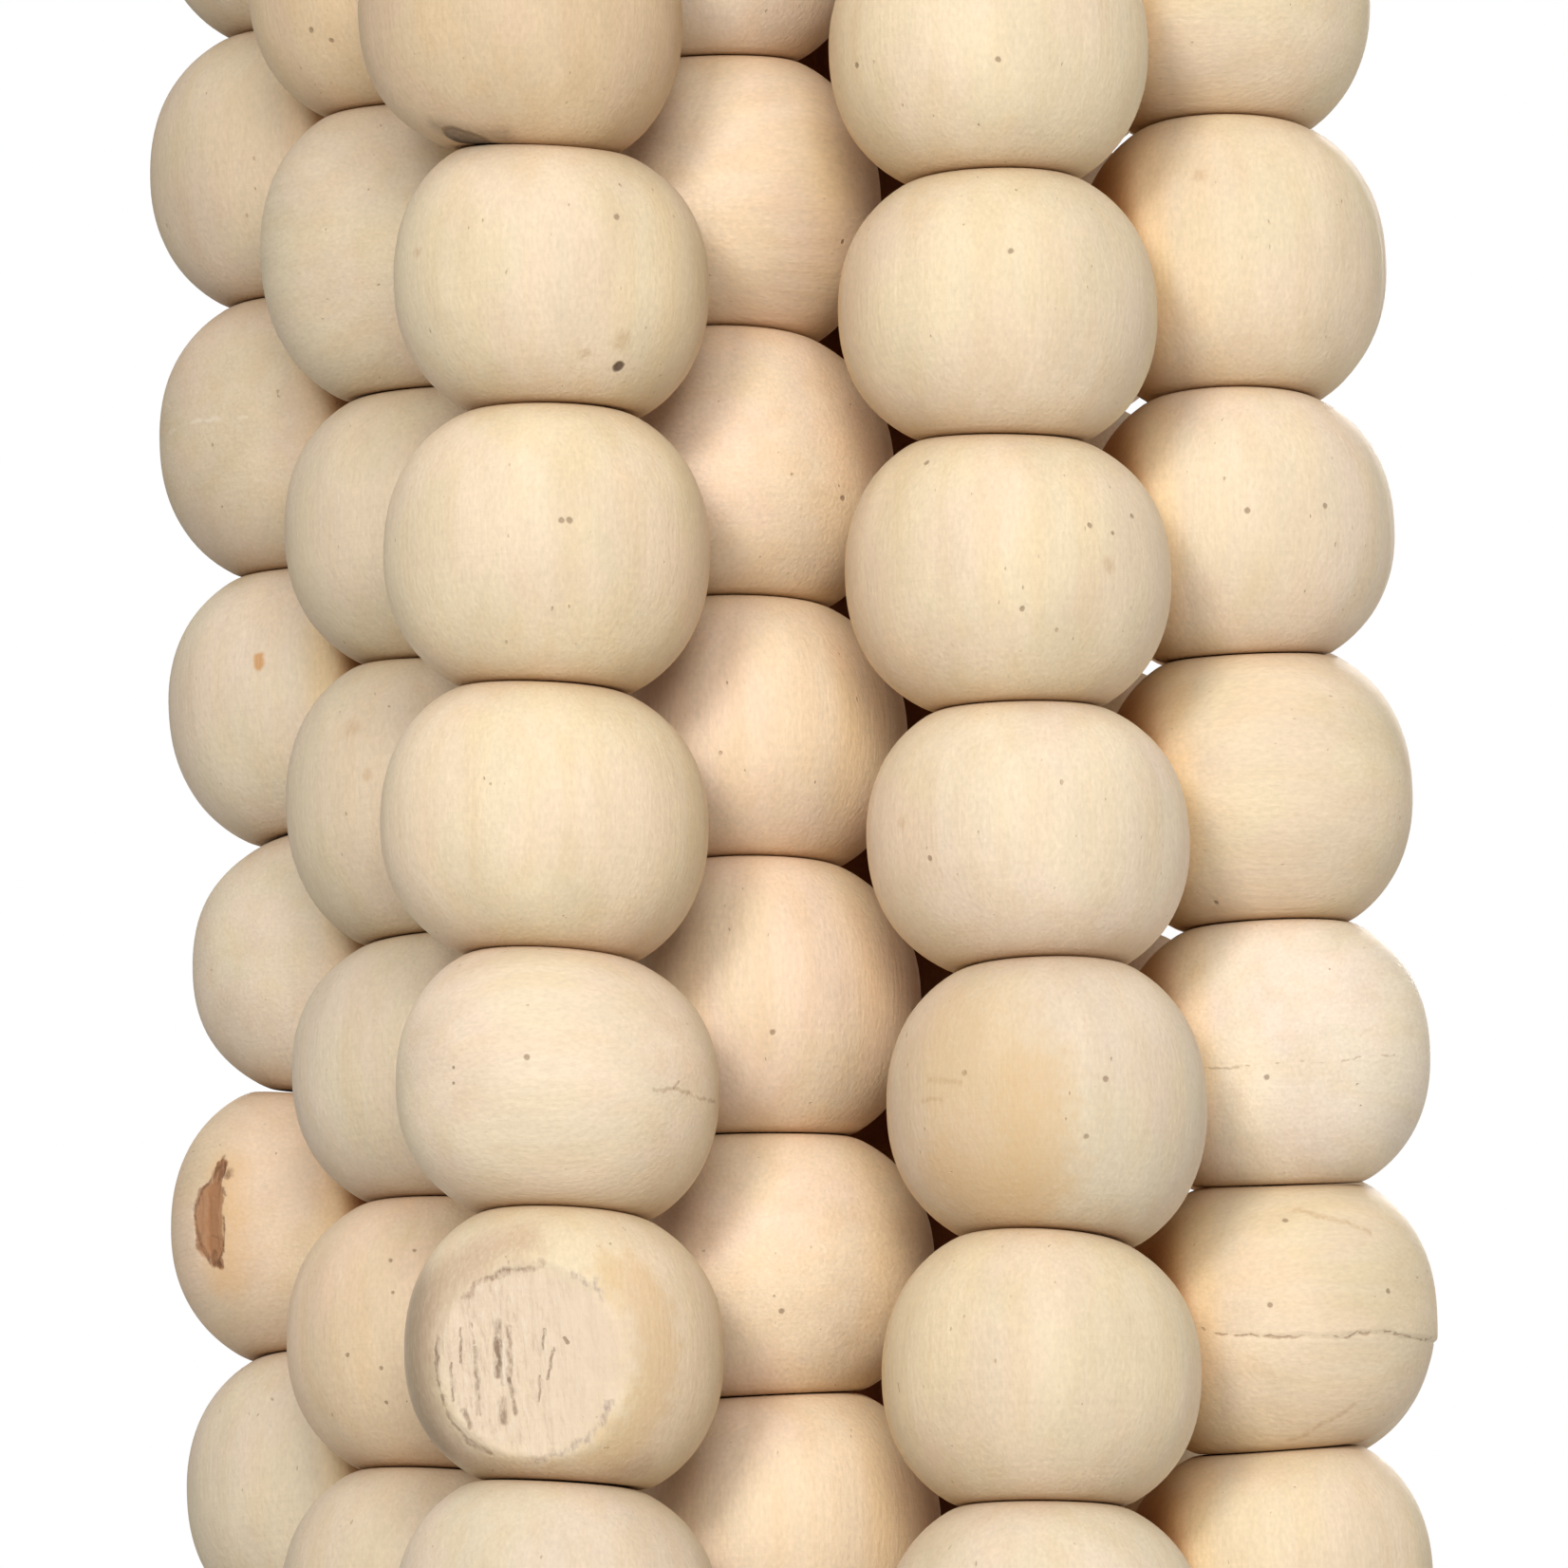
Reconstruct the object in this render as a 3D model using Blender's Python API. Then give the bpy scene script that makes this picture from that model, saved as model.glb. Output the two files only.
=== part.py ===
"""Wood bead tassel: eleven strands of round wood beads hung from a bound head with a cord loop.

Metres in the scene, millimetres in the tables. +Z is up and -Y is the front. The origin is where
a hook bears: the inner top of the hanging loop.
"""

import math

import bmesh
import bpy
from mathutils import Vector

MM = 0.001

# Driving sizes in millimetres
BEAD_DIAMETER = 20.0
BEAD_LENGTH = 16.6
BEADS = 13
FACE_DIAMETER = 10.6
HOLE_DIAMETER = 4.0
CORD_DIAMETER = 2.0
KNOT_DIAMETER = 6.0
TAIL_LENGTH = 7.0
LOOP_CORD_DIAMETER = 4.0
LOOP_DROP = 64.0
LOOP_FOOT_SPACING = 6.0
LOOP_FOOT_HANDLE = 26.0
LOOP_TOP_HANDLE = 22.0
HEAD_DIAMETER = 18.0
HEAD_TURNS = 8
TURN_HEIGHT = 3.2
BARE_CORD = 70.8
CLEARANCE = 0.3

# Where the cords leave the head, as distances from its axis
INNER_ROOT = 2.4
OUTER_ROOT = 6.2
INNER_STRAND_LIMIT = 20.0

# How far the top end of a first bead leans towards the head
TOP_LEAN = 1.2

# Heights in millimetres
HEAD_TOP = -LOOP_DROP
HEAD_BOTTOM = HEAD_TOP - HEAD_TURNS * TURN_HEIGHT
TABLE_HEIGHT = HEAD_BOTTOM - BARE_CORD - 4 * BEAD_LENGTH

# Shape of one turn of the binding: shares of its height, and how far each lies under its crest
TURN_PROFILE = (
    {"share": 0.0, "under": 1.1},
    {"share": 0.25, "under": 0.0},
    {"share": 0.75, "under": 0.0},
)

# Shape of a knot, in knot radii: depth below the last bead and radius there
KNOT_PROFILE = (
    {"depth": 0.1, "radius": 0.55},
    {"depth": 0.5, "radius": 0.95},
    {"depth": 1.2, "radius": 1.0},
    {"depth": 1.9, "radius": 0.6},
)
KNOT_END = 2.1

# Facets
BEAD_SIDES = 10
CORD_SIDES = 5
CORD_STEPS = 6
LOOP_STEPS = 12
HEAD_SIDES = 16
SHOULDER_HEIGHT = 5.4

# The table's lengths and sways start at these beads, counted from 0 at the top
LENGTHS_FROM = 4
SWAYS_FROM = 3

# The other beads differ from BEAD_LENGTH by these, taken in turn along a strand
LENGTH_CHANGES = (0.2, -0.3, 0.1, 0.0, -0.1, 0.3, -0.2)

# One row a strand, in millimetres: its place in plan at TABLE_HEIGHT, its lean (sideways shift in
# X for each millimetre down), the height above TABLE_HEIGHT of the seam between beads 3 and 4,
# the lengths of beads 4 to 8, and how far beads 3 to 9 stray in X from the strand's own line.
# The beads above and below those hang plumb.
STRANDS = (
    {"number": 1, "x": -30.1, "y": 12.9, "lean": -0.002, "seam": 50.7,
     "lengths": (17.0, 17.4, 16.9, 16.6, 16.8), "sways": (0.6, -0.3, -0.2, 0.0, 1.0, -0.7, -0.2)},
    {"number": 2, "x": -23.2, "y": -5.8, "lean": -0.006, "seam": 42.9,
     "lengths": (18.0, 17.2, 17.3, 16.7, 17.0), "sways": (-0.8, -0.3, 0.8, 0.5, 0.6, -0.1, -0.9)},
    {"number": 3, "x": -15.9, "y": -29.3, "lean": -0.010, "seam": 36.7,
     "lengths": (16.5, 17.2, 16.7, 16.1, 16.6), "sways": (-0.7, 0.9, 0.3, -0.2, 0.3, 0.4, -0.4)},
    {"number": 4, "x": -3.4, "y": -12.9, "lean": 0.016, "seam": 44.4,
     "lengths": (17.6, 16.8, 16.4, 17.0, 16.3), "sways": (-0.2, 0.0, 0.1, 0.1, 0.1, 0.1, -0.3)},
    {"number": 5, "x": 13.3, "y": -27.7, "lean": 0.008, "seam": 34.2,
     "lengths": (16.3, 16.8, 16.2, 17.0, 16.4), "sways": (-0.1, -0.2, -0.2, 0.4, 0.9, -0.1, -0.6)},
    {"number": 6, "x": 28.0, "y": -12.9, "lean": 0.010, "seam": 39.1,
     "lengths": (17.1, 16.3, 16.9, 16.3, 16.5), "sways": (-0.2, 0.0, -0.2, 0.2, 0.6, 0.2, -0.6)},
    {"number": 7, "x": 16.5, "y": 4.8, "lean": 0.030, "seam": 40.9,
     "lengths": (16.9, 16.9, 16.7, 16.3, 16.2), "sways": (0.0, -0.1, -0.3, -0.1, 0.1, 0.1, 0.0)},
    {"number": 8, "x": 28.7, "y": 22.6, "lean": 0.010, "seam": 44.4,
     "lengths": (17.5, 16.7, 17.3, 16.7, 16.9), "sways": (-0.2, 0.1, -0.1, 0.3, 0.7, 0.3, -0.6)},
    {"number": 9, "x": 7.0, "y": 24.6, "lean": 0.006, "seam": 43.6,
     "lengths": (16.5, 16.8, 16.2, 16.9, 16.4), "sways": (0.2, -0.3, 0.1, 0.4, -0.2, 0.0, 0.3)},
    {"number": 10, "x": -14.3, "y": 26.9, "lean": -0.006, "seam": 38.2,
     "lengths": (16.7, 16.3, 17.0, 16.6, 16.2), "sways": (0.3, -0.2, -0.5, 0.2, 0.4, -0.3, 0.1)},
    {"number": 11, "x": -7.6, "y": 8.3, "lean": 0.0, "seam": 46.6,
     "lengths": (16.4, 16.9, 16.5, 16.8, 16.3), "sways": (0.0, 0.2, -0.1, 0.1, 0.0, -0.2, 0.1)},
)


def strand_name(strand):
    return f"strand_{strand['number']:02d}"


def bead_length(strand, index):
    """Length of one bead along its hole."""
    place = index - LENGTHS_FROM
    lengths = strand["lengths"]
    if 0 <= place < len(lengths):
        return lengths[place]
    turn = (index + 3 * strand["number"]) % len(LENGTH_CHANGES)
    return BEAD_LENGTH + LENGTH_CHANGES[turn]


def seam_heights(strand):
    """Heights of the bead ends, from the top of the first bead to the foot of the last."""
    lengths = [bead_length(strand, index) for index in range(BEADS)]
    heights = [TABLE_HEIGHT + strand["seam"] + sum(lengths[:LENGTHS_FROM])]
    for length in lengths:
        heights.append(heights[-1] - length)
    return heights


def bead_centres(strand):
    """Centre of each bead, top first."""
    heights = seam_heights(strand)
    middles = [(above + below) / 2 for above, below in zip(heights, heights[1:])]
    sways = strand["sways"]
    centres = []
    for index, z in enumerate(middles):
        row = min(max(index - SWAYS_FROM, 0), len(sways) - 1)
        down = TABLE_HEIGHT - middles[SWAYS_FROM + row]
        x = strand["x"] + strand["lean"] * down + sways[row]
        centres.append(Vector((x, strand["y"], z)))
    return centres


def bead_seams(strand):
    """Middles of the bead ends: the strand's top, where its beads meet, and its foot."""
    centres = bead_centres(strand)
    heights = seam_heights(strand)
    seams = []
    for index in range(1, BEADS):
        middle = (centres[index - 1] + centres[index]) / 2
        seams.append(Vector((middle.x, middle.y, heights[index])))
    inward = -Vector((strand["x"], strand["y"], 0.0)).normalized()
    top = 2 * centres[0] - seams[0] + TOP_LEAN * inward
    foot = 2 * centres[-1] - seams[-1]
    return [top] + seams + [foot]


def new_object(name, data, material):
    data.materials.append(material)
    made = bpy.data.objects.new(name, data)
    bpy.context.scene.collection.objects.link(made)
    return made


def ring(mesh, centre, axis, radius, sides):
    """A ring of vertices around an axis, its first corner on the +X side."""
    along = axis.normalized()
    across = (Vector((1, 0, 0)) - along * along.x).normalized()
    third = along.cross(across)
    turn = 2 * math.pi / sides
    corners = []
    for step in range(sides):
        offset = math.cos(turn * step) * across + math.sin(turn * step) * third
        corners.append(mesh.verts.new((centre + radius * offset) * MM))
    return corners


def skin(mesh, rings):
    """Faces between each ring and the next."""
    for first, second in zip(rings, rings[1:]):
        for step in range(len(first)):
            following = (step + 1) % len(first)
            mesh.faces.new((first[step], first[following], second[following], second[step]))


def close_solid(mesh, name, material):
    """Turns the faces outwards and makes the smooth-shaded object."""
    bmesh.ops.recalc_face_normals(mesh, faces=mesh.faces)
    data = bpy.data.meshes.new(name)
    mesh.to_mesh(data)
    mesh.free()
    data.shade_smooth()
    data.set_sharp_from_angle(angle=math.radians(60))
    return new_object(name, data, material)


def solid_from_rings(name, profile, sides, material):
    """A closed solid through rings given as (centre, axis, radius)."""
    mesh = bmesh.new()
    rings = [ring(mesh, centre, axis, radius, sides) for centre, axis, radius in profile]
    skin(mesh, rings)
    mesh.faces.new(rings[0])
    mesh.faces.new(rings[-1])
    return close_solid(mesh, name, material)


def end_face(mesh, rim, hole):
    """The flat ring between a bead's rim and its hole, which has half as many corners."""
    for step in range(len(hole)):
        following = (step + 1) % len(hole)
        outer = [rim[(2 * step + extra) % len(rim)] for extra in range(3)]
        mesh.faces.new(outer + [hole[following], hole[step]])


def tangents(points):
    """Direction of a line at each of its points."""
    last = len(points) - 1
    return [points[min(i + 1, last)] - points[max(i - 1, 0)] for i in range(last + 1)]


def bezier(handles, share):
    """Point on a cubic curve."""
    a, b, c, d = handles
    rest = 1 - share
    return rest**3 * a + 3 * rest**2 * share * b + 3 * rest * share**2 * c + share**3 * d


def plain_material(name, colour, roughness):
    material = bpy.data.materials.new(name)
    material.use_nodes = True
    shader = material.node_tree.nodes["Principled BSDF"]
    shader.inputs["Base Color"].default_value = (*colour, 1.0)
    shader.inputs["Roughness"].default_value = roughness
    shader.inputs["Metallic"].default_value = 0.0
    return material


def make_beads(strand, material):
    """A strand's beads end to end, as one drilled solid with a neck at each seam."""
    centres = bead_centres(strand)
    seams = bead_seams(strand)
    axes = [-axis for axis in tangents(seams)]
    radius = BEAD_DIAMETER / 2
    shoulder_radius = math.sqrt(radius**2 - SHOULDER_HEIGHT**2)
    face_radius = FACE_DIAMETER / 2
    mesh = bmesh.new()
    outside = [ring(mesh, seams[0], axes[0], face_radius, BEAD_SIDES)]
    for index, centre in enumerate(centres):
        axis = seams[index] - seams[index + 1]
        shoulder = SHOULDER_HEIGHT * axis.normalized()
        outside.append(ring(mesh, centre + shoulder, axis, shoulder_radius, BEAD_SIDES))
        outside.append(ring(mesh, centre, axis, radius, BEAD_SIDES))
        outside.append(ring(mesh, centre - shoulder, axis, shoulder_radius, BEAD_SIDES))
        outside.append(ring(mesh, seams[index + 1], axes[index + 1], face_radius, BEAD_SIDES))
    hole = [
        ring(mesh, seam, axis, HOLE_DIAMETER / 2, CORD_SIDES) for seam, axis in zip(seams, axes)
    ]
    skin(mesh, outside)
    skin(mesh, hole)
    end_face(mesh, outside[0], hole[0])
    end_face(mesh, outside[-1], hole[-1])
    return close_solid(mesh, strand_name(strand) + "_beads", material)


def cord_root(strand):
    """Where a strand's cord leaves the underside of the head."""
    out = Vector((strand["x"], strand["y"], 0.0))
    reach = INNER_ROOT if out.length < INNER_STRAND_LIMIT else OUTER_ROOT
    return reach * out.normalized() + Vector((0, 0, HEAD_BOTTOM - CLEARANCE))


def make_cord(strand, material):
    """A strand's cord: bare from the head, through the beads, and knotted under the last one."""
    seams = bead_seams(strand)
    root = cord_root(strand)
    up = (seams[0] - seams[1]).normalized()
    drop = root.z - seams[0].z
    handles = (root, root - Vector((0, 0, 0.2 * drop)), seams[0] + 0.3 * drop * up, seams[0])
    points = [bezier(handles, step / CORD_STEPS) for step in range(CORD_STEPS)] + seams
    directions = tangents(points)
    directions[0] = Vector((0, 0, -1))
    radius = CORD_DIAMETER / 2
    profile = [(point, along, radius) for point, along in zip(points, directions)]
    down = (seams[-1] - seams[-2]).normalized()
    knot = KNOT_DIAMETER / 2
    for row in KNOT_PROFILE:
        profile.append((seams[-1] + row["depth"] * knot * down, down, row["radius"] * knot))
    tail = seams[-1] + KNOT_END * knot * down
    profile.append((tail, down, radius))
    profile.append((tail + TAIL_LENGTH * down, down, radius))
    return solid_from_rings(strand_name(strand) + "_cord", profile, CORD_SIDES, material)


def make_head(material):
    """The binding that gathers the cords: one ridge for each turn of the wound cord."""
    crest = HEAD_DIAMETER / 2
    up = Vector((0, 0, 1))
    profile = []
    for turn in range(HEAD_TURNS):
        for row in TURN_PROFILE:
            z = HEAD_TOP - (turn + row["share"]) * TURN_HEIGHT
            profile.append((Vector((0, 0, z)), up, crest - row["under"]))
    profile.append((Vector((0, 0, HEAD_BOTTOM)), up, crest - TURN_PROFILE[0]["under"]))
    return solid_from_rings("head_binding", profile, HEAD_SIDES, material)


def make_loop(material):
    """The hanging loop: up from the head on one side, over the hook's place and down again."""
    radius = LOOP_CORD_DIAMETER / 2
    foot = Vector((LOOP_FOOT_SPACING / 2, 0, HEAD_TOP + CLEARANCE))
    top = Vector((0, 0, radius))
    rise = Vector((0, 0, LOOP_FOOT_HANDLE))
    spread = Vector((LOOP_TOP_HANDLE, 0, 0))
    handles = (foot, foot + rise, top + spread, top)
    right = [bezier(handles, step / LOOP_STEPS) for step in range(LOOP_STEPS + 1)]
    left = [Vector((-point.x, point.y, point.z)) for point in reversed(right[:-1])]
    loop = bpy.data.curves.new("hanging_loop", "CURVE")
    loop.dimensions = "3D"
    loop.bevel_depth = radius * MM
    loop.bevel_resolution = 2
    loop.use_fill_caps = True
    spline = loop.splines.new("POLY")
    line = right + left
    spline.points.add(len(line) - 1)
    for slot, point in zip(spline.points, line):
        slot.co = (*(point * MM), 1.0)
    return new_object("hanging_loop", loop, material)


def clear_scene():
    for item in list(bpy.data.objects):
        bpy.data.objects.remove(item)


def main():
    clear_scene()
    wood = plain_material("bead_wood", (0.76, 0.62, 0.46), 0.65)
    cord = plain_material("natural_cord", (0.62, 0.48, 0.31), 0.85)
    make_loop(cord)
    make_head(cord)
    for strand in STRANDS:
        make_beads(strand, wood)
        make_cord(strand, cord)


main()
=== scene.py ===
"""Looks of the wood bead tassel: raw wood beads with their marks, twisted cords, bound head, loop.

Metres in the scene, millimetres in the tables and in the functions that shape a piece. +Z is up and
-Y is the front. The origin is where a hook bears: the inner top of the hanging loop.
"""

from collections import namedtuple
import math
import random

import bpy
from mathutils import Matrix, Vector
import numpy as np


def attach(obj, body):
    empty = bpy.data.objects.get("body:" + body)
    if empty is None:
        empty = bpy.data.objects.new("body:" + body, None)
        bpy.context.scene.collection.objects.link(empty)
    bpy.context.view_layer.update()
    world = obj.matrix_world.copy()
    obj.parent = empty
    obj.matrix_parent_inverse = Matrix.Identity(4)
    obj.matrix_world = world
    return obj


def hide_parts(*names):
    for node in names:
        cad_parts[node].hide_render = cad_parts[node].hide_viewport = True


# A millimetre in the scene's metres
MM = 0.001

# Driving sizes in millimetres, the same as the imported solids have
BEAD_DIAMETER = 20.0
BEAD_LENGTH = 16.6
BEADS = 13
HOLE_DIAMETER = 4.0
CORD_DIAMETER = 2.0
KNOT_DIAMETER = 6.0
TAIL_LENGTH = 7.0
LOOP_CORD_DIAMETER = 4.0
LOOP_DROP = 64.0
LOOP_FOOT_SPACING = 6.0
LOOP_FOOT_HANDLE = 26.0
LOOP_TOP_HANDLE = 22.0
HEAD_DIAMETER = 18.0
HEAD_TURNS = 8
TURN_HEIGHT = 3.2
BARE_CORD = 70.8
CLEARANCE = 0.3
INNER_ROOT = 2.4
OUTER_ROOT = 6.2
INNER_STRAND_LIMIT = 20.0
TOP_LEAN = 1.2
HEAD_TOP = -LOOP_DROP
HEAD_BOTTOM = HEAD_TOP - HEAD_TURNS * TURN_HEIGHT
TABLE_HEIGHT = HEAD_BOTTOM - BARE_CORD - 4 * BEAD_LENGTH

# The table's lengths and sways start at these beads, counted from 0 at the top
LENGTHS_FROM = 4
SWAYS_FROM = 3

# The other beads differ from BEAD_LENGTH by these, taken in turn along a strand
LENGTH_CHANGES = (0.2, -0.3, 0.1, 0.0, -0.1, 0.3, -0.2)

# One row a strand, in millimetres: its place in plan at TABLE_HEIGHT, its lean (sideways shift in
# X for each millimetre down), the height above TABLE_HEIGHT of the seam between beads 3 and 4,
# the lengths of beads 4 to 8, and how far beads 3 to 9 stray in X from the strand's own line.
# The beads above and below those hang plumb.
Strand = namedtuple("Strand", "number x y lean seam lengths sways")
STRANDS = (
    Strand(1, -30.1, 12.9, -0.002, 50.7,
           (17.0, 17.4, 16.9, 16.6, 16.8), (0.6, -0.3, -0.2, 0.0, 1.0, -0.7, -0.2)),
    Strand(2, -23.2, -5.8, -0.006, 42.9,
           (18.0, 17.2, 17.3, 16.7, 17.0), (-0.8, -0.3, 0.8, 0.5, 0.6, -0.1, -0.9)),
    Strand(3, -15.9, -29.3, -0.01, 36.7,
           (16.5, 17.2, 16.7, 16.1, 16.6), (-0.7, 0.9, 0.3, -0.2, 0.3, 0.4, -0.4)),
    Strand(4, -3.4, -12.9, 0.016, 44.4,
           (17.6, 16.8, 16.4, 17.0, 16.3), (-0.2, 0.0, 0.1, 0.1, 0.1, 0.1, -0.3)),
    Strand(5, 13.3, -27.7, 0.008, 34.2,
           (16.3, 16.8, 16.2, 17.0, 16.4), (-0.1, -0.2, -0.2, 0.4, 0.9, -0.1, -0.6)),
    Strand(6, 28.0, -12.9, 0.01, 39.1,
           (17.1, 16.3, 16.9, 16.3, 16.5), (-0.2, 0.0, -0.2, 0.2, 0.6, 0.2, -0.6)),
    Strand(7, 16.5, 4.8, 0.03, 40.9,
           (16.9, 16.9, 16.7, 16.3, 16.2), (0.0, -0.1, -0.3, -0.1, 0.1, 0.1, 0.0)),
    Strand(8, 28.7, 22.6, 0.01, 44.4,
           (17.5, 16.7, 17.3, 16.7, 16.9), (-0.2, 0.1, -0.1, 0.3, 0.7, 0.3, -0.6)),
    Strand(9, 7.0, 24.6, 0.006, 43.6,
           (16.5, 16.8, 16.2, 16.9, 16.4), (0.2, -0.3, 0.1, 0.4, -0.2, 0.0, 0.3)),
    Strand(10, -14.3, 26.9, -0.006, 38.2,
           (16.7, 16.3, 17.0, 16.6, 16.2), (0.3, -0.2, -0.5, 0.2, 0.4, -0.3, 0.1)),
    Strand(11, -7.6, 8.3, 0.0, 46.6,
           (16.4, 16.9, 16.5, 16.8, 16.3), (0.0, 0.2, -0.1, 0.1, 0.0, -0.2, 0.1)),
)

# How the seams under beads 3 to 8 of some strands tip, in degrees: a nod lifts the near side of a
# seam and a roll drops its right side. The other seams draw theirs from normal spreads.
TIPS_FROM = 4
TIPS = {
    3: {"nods": (-3.0, 1.5, 0.0, 2.0, 2.5, -2.0), "rolls": (4.5, 2.5, 4.0, 5.0, 4.5, 5.0)},
    4: {"nods": (-2.0, 4.0, 1.5, 1.5, -3.5, -4.5), "rolls": (0.5, 3.0, 2.6, 2.2, 1.6, -1.0)},
    5: {"nods": (2.0, -2.0, -0.5, 3.0, 4.5, -0.5), "rolls": (0.0, 2.0, 0.3, 0.0, 4.5, 2.0)},
    6: {"nods": (5.0, 3.5, -3.0, -1.0, -5.5, -6.5), "rolls": (1.5, 0.7, -1.0, -1.0, 0.0, -2.5)},
}
NOD_SPREAD = 1.6
ROLL_SPREAD = 1.8

# Diameters in millimetres of beads 3 to 9 of some strands; the others draw how far theirs are
# from BEAD_DIAMETER
DIAMETERS_FROM = 3
DIAMETERS = {
    1: (20.3, 20.3, 20.3, 20.3, 20.3, 20.3, 20.3),
    3: (20.1, 19.6, 20.3, 20.4, 20.0, 19.7, 20.1),
    5: (19.9, 19.9, 20.2, 20.1, 19.9, 19.8, 20.0),
    6: (19.5, 19.3, 19.3, 19.4, 19.5, 19.6, 19.5),
}
DIAMETER_CHANGES = (-0.25, 0.05)

# Shades of the raw wood as linear colours
SHADES = {
    # b is lighter than the other wood: painted light on the set-back strand 4
    "b": (0.865, 0.680, 0.482),
    "p": (0.800, 0.672, 0.520),
    "w": (0.820, 0.672, 0.498),
    "c": (0.775, 0.630, 0.460),
    "h": (0.775, 0.612, 0.425),
    "y": (0.740, 0.598, 0.415),
    "n": (0.708, 0.540, 0.370),
    "a": (0.670, 0.552, 0.405),
    "g": (0.640, 0.522, 0.368),
    "d": (0.612, 0.488, 0.345),
    "t": (0.645, 0.482, 0.312),
}

# The shades of beads 3 to 9 of some strands; the others draw theirs from ORDINARY_SHADES. These follow
# how bright each bead looks from the front: partly the wood's own tone, partly painted light and shade.
# Strand 4, set back between strands 3 and 5, takes the bright b as painted light, and the darker
# shades of strands 1 and 2 are partly painted shade. Each bead is made a little lighter or darker.
TONES_FROM = 3
TONES_WITH_PAINTED_LIGHT = {1: "dddaana", 2: "tgggang", 3: "tyyycya", 4: "wbbbbbb", 5: "yyycaya", 6: "yycypyy"}
ORDINARY_SHADES = "cwhcyhan"
LIGHTNESS = (0.97, 1.02)

# Marks on single beads. Their points are in millimetres from the bead's middle as the front view
# shows it: across to the right, and up. A mark runs through its points and is size wide either way.
Mark = namedtuple("Mark", "strand bead kind size points")


def spots(strand, bead, kind, size, *middles):
    """Marks of one kind and size on one bead, each round a single point."""
    return [Mark(strand, bead, kind, size, (middle,)) for middle in middles]


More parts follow.
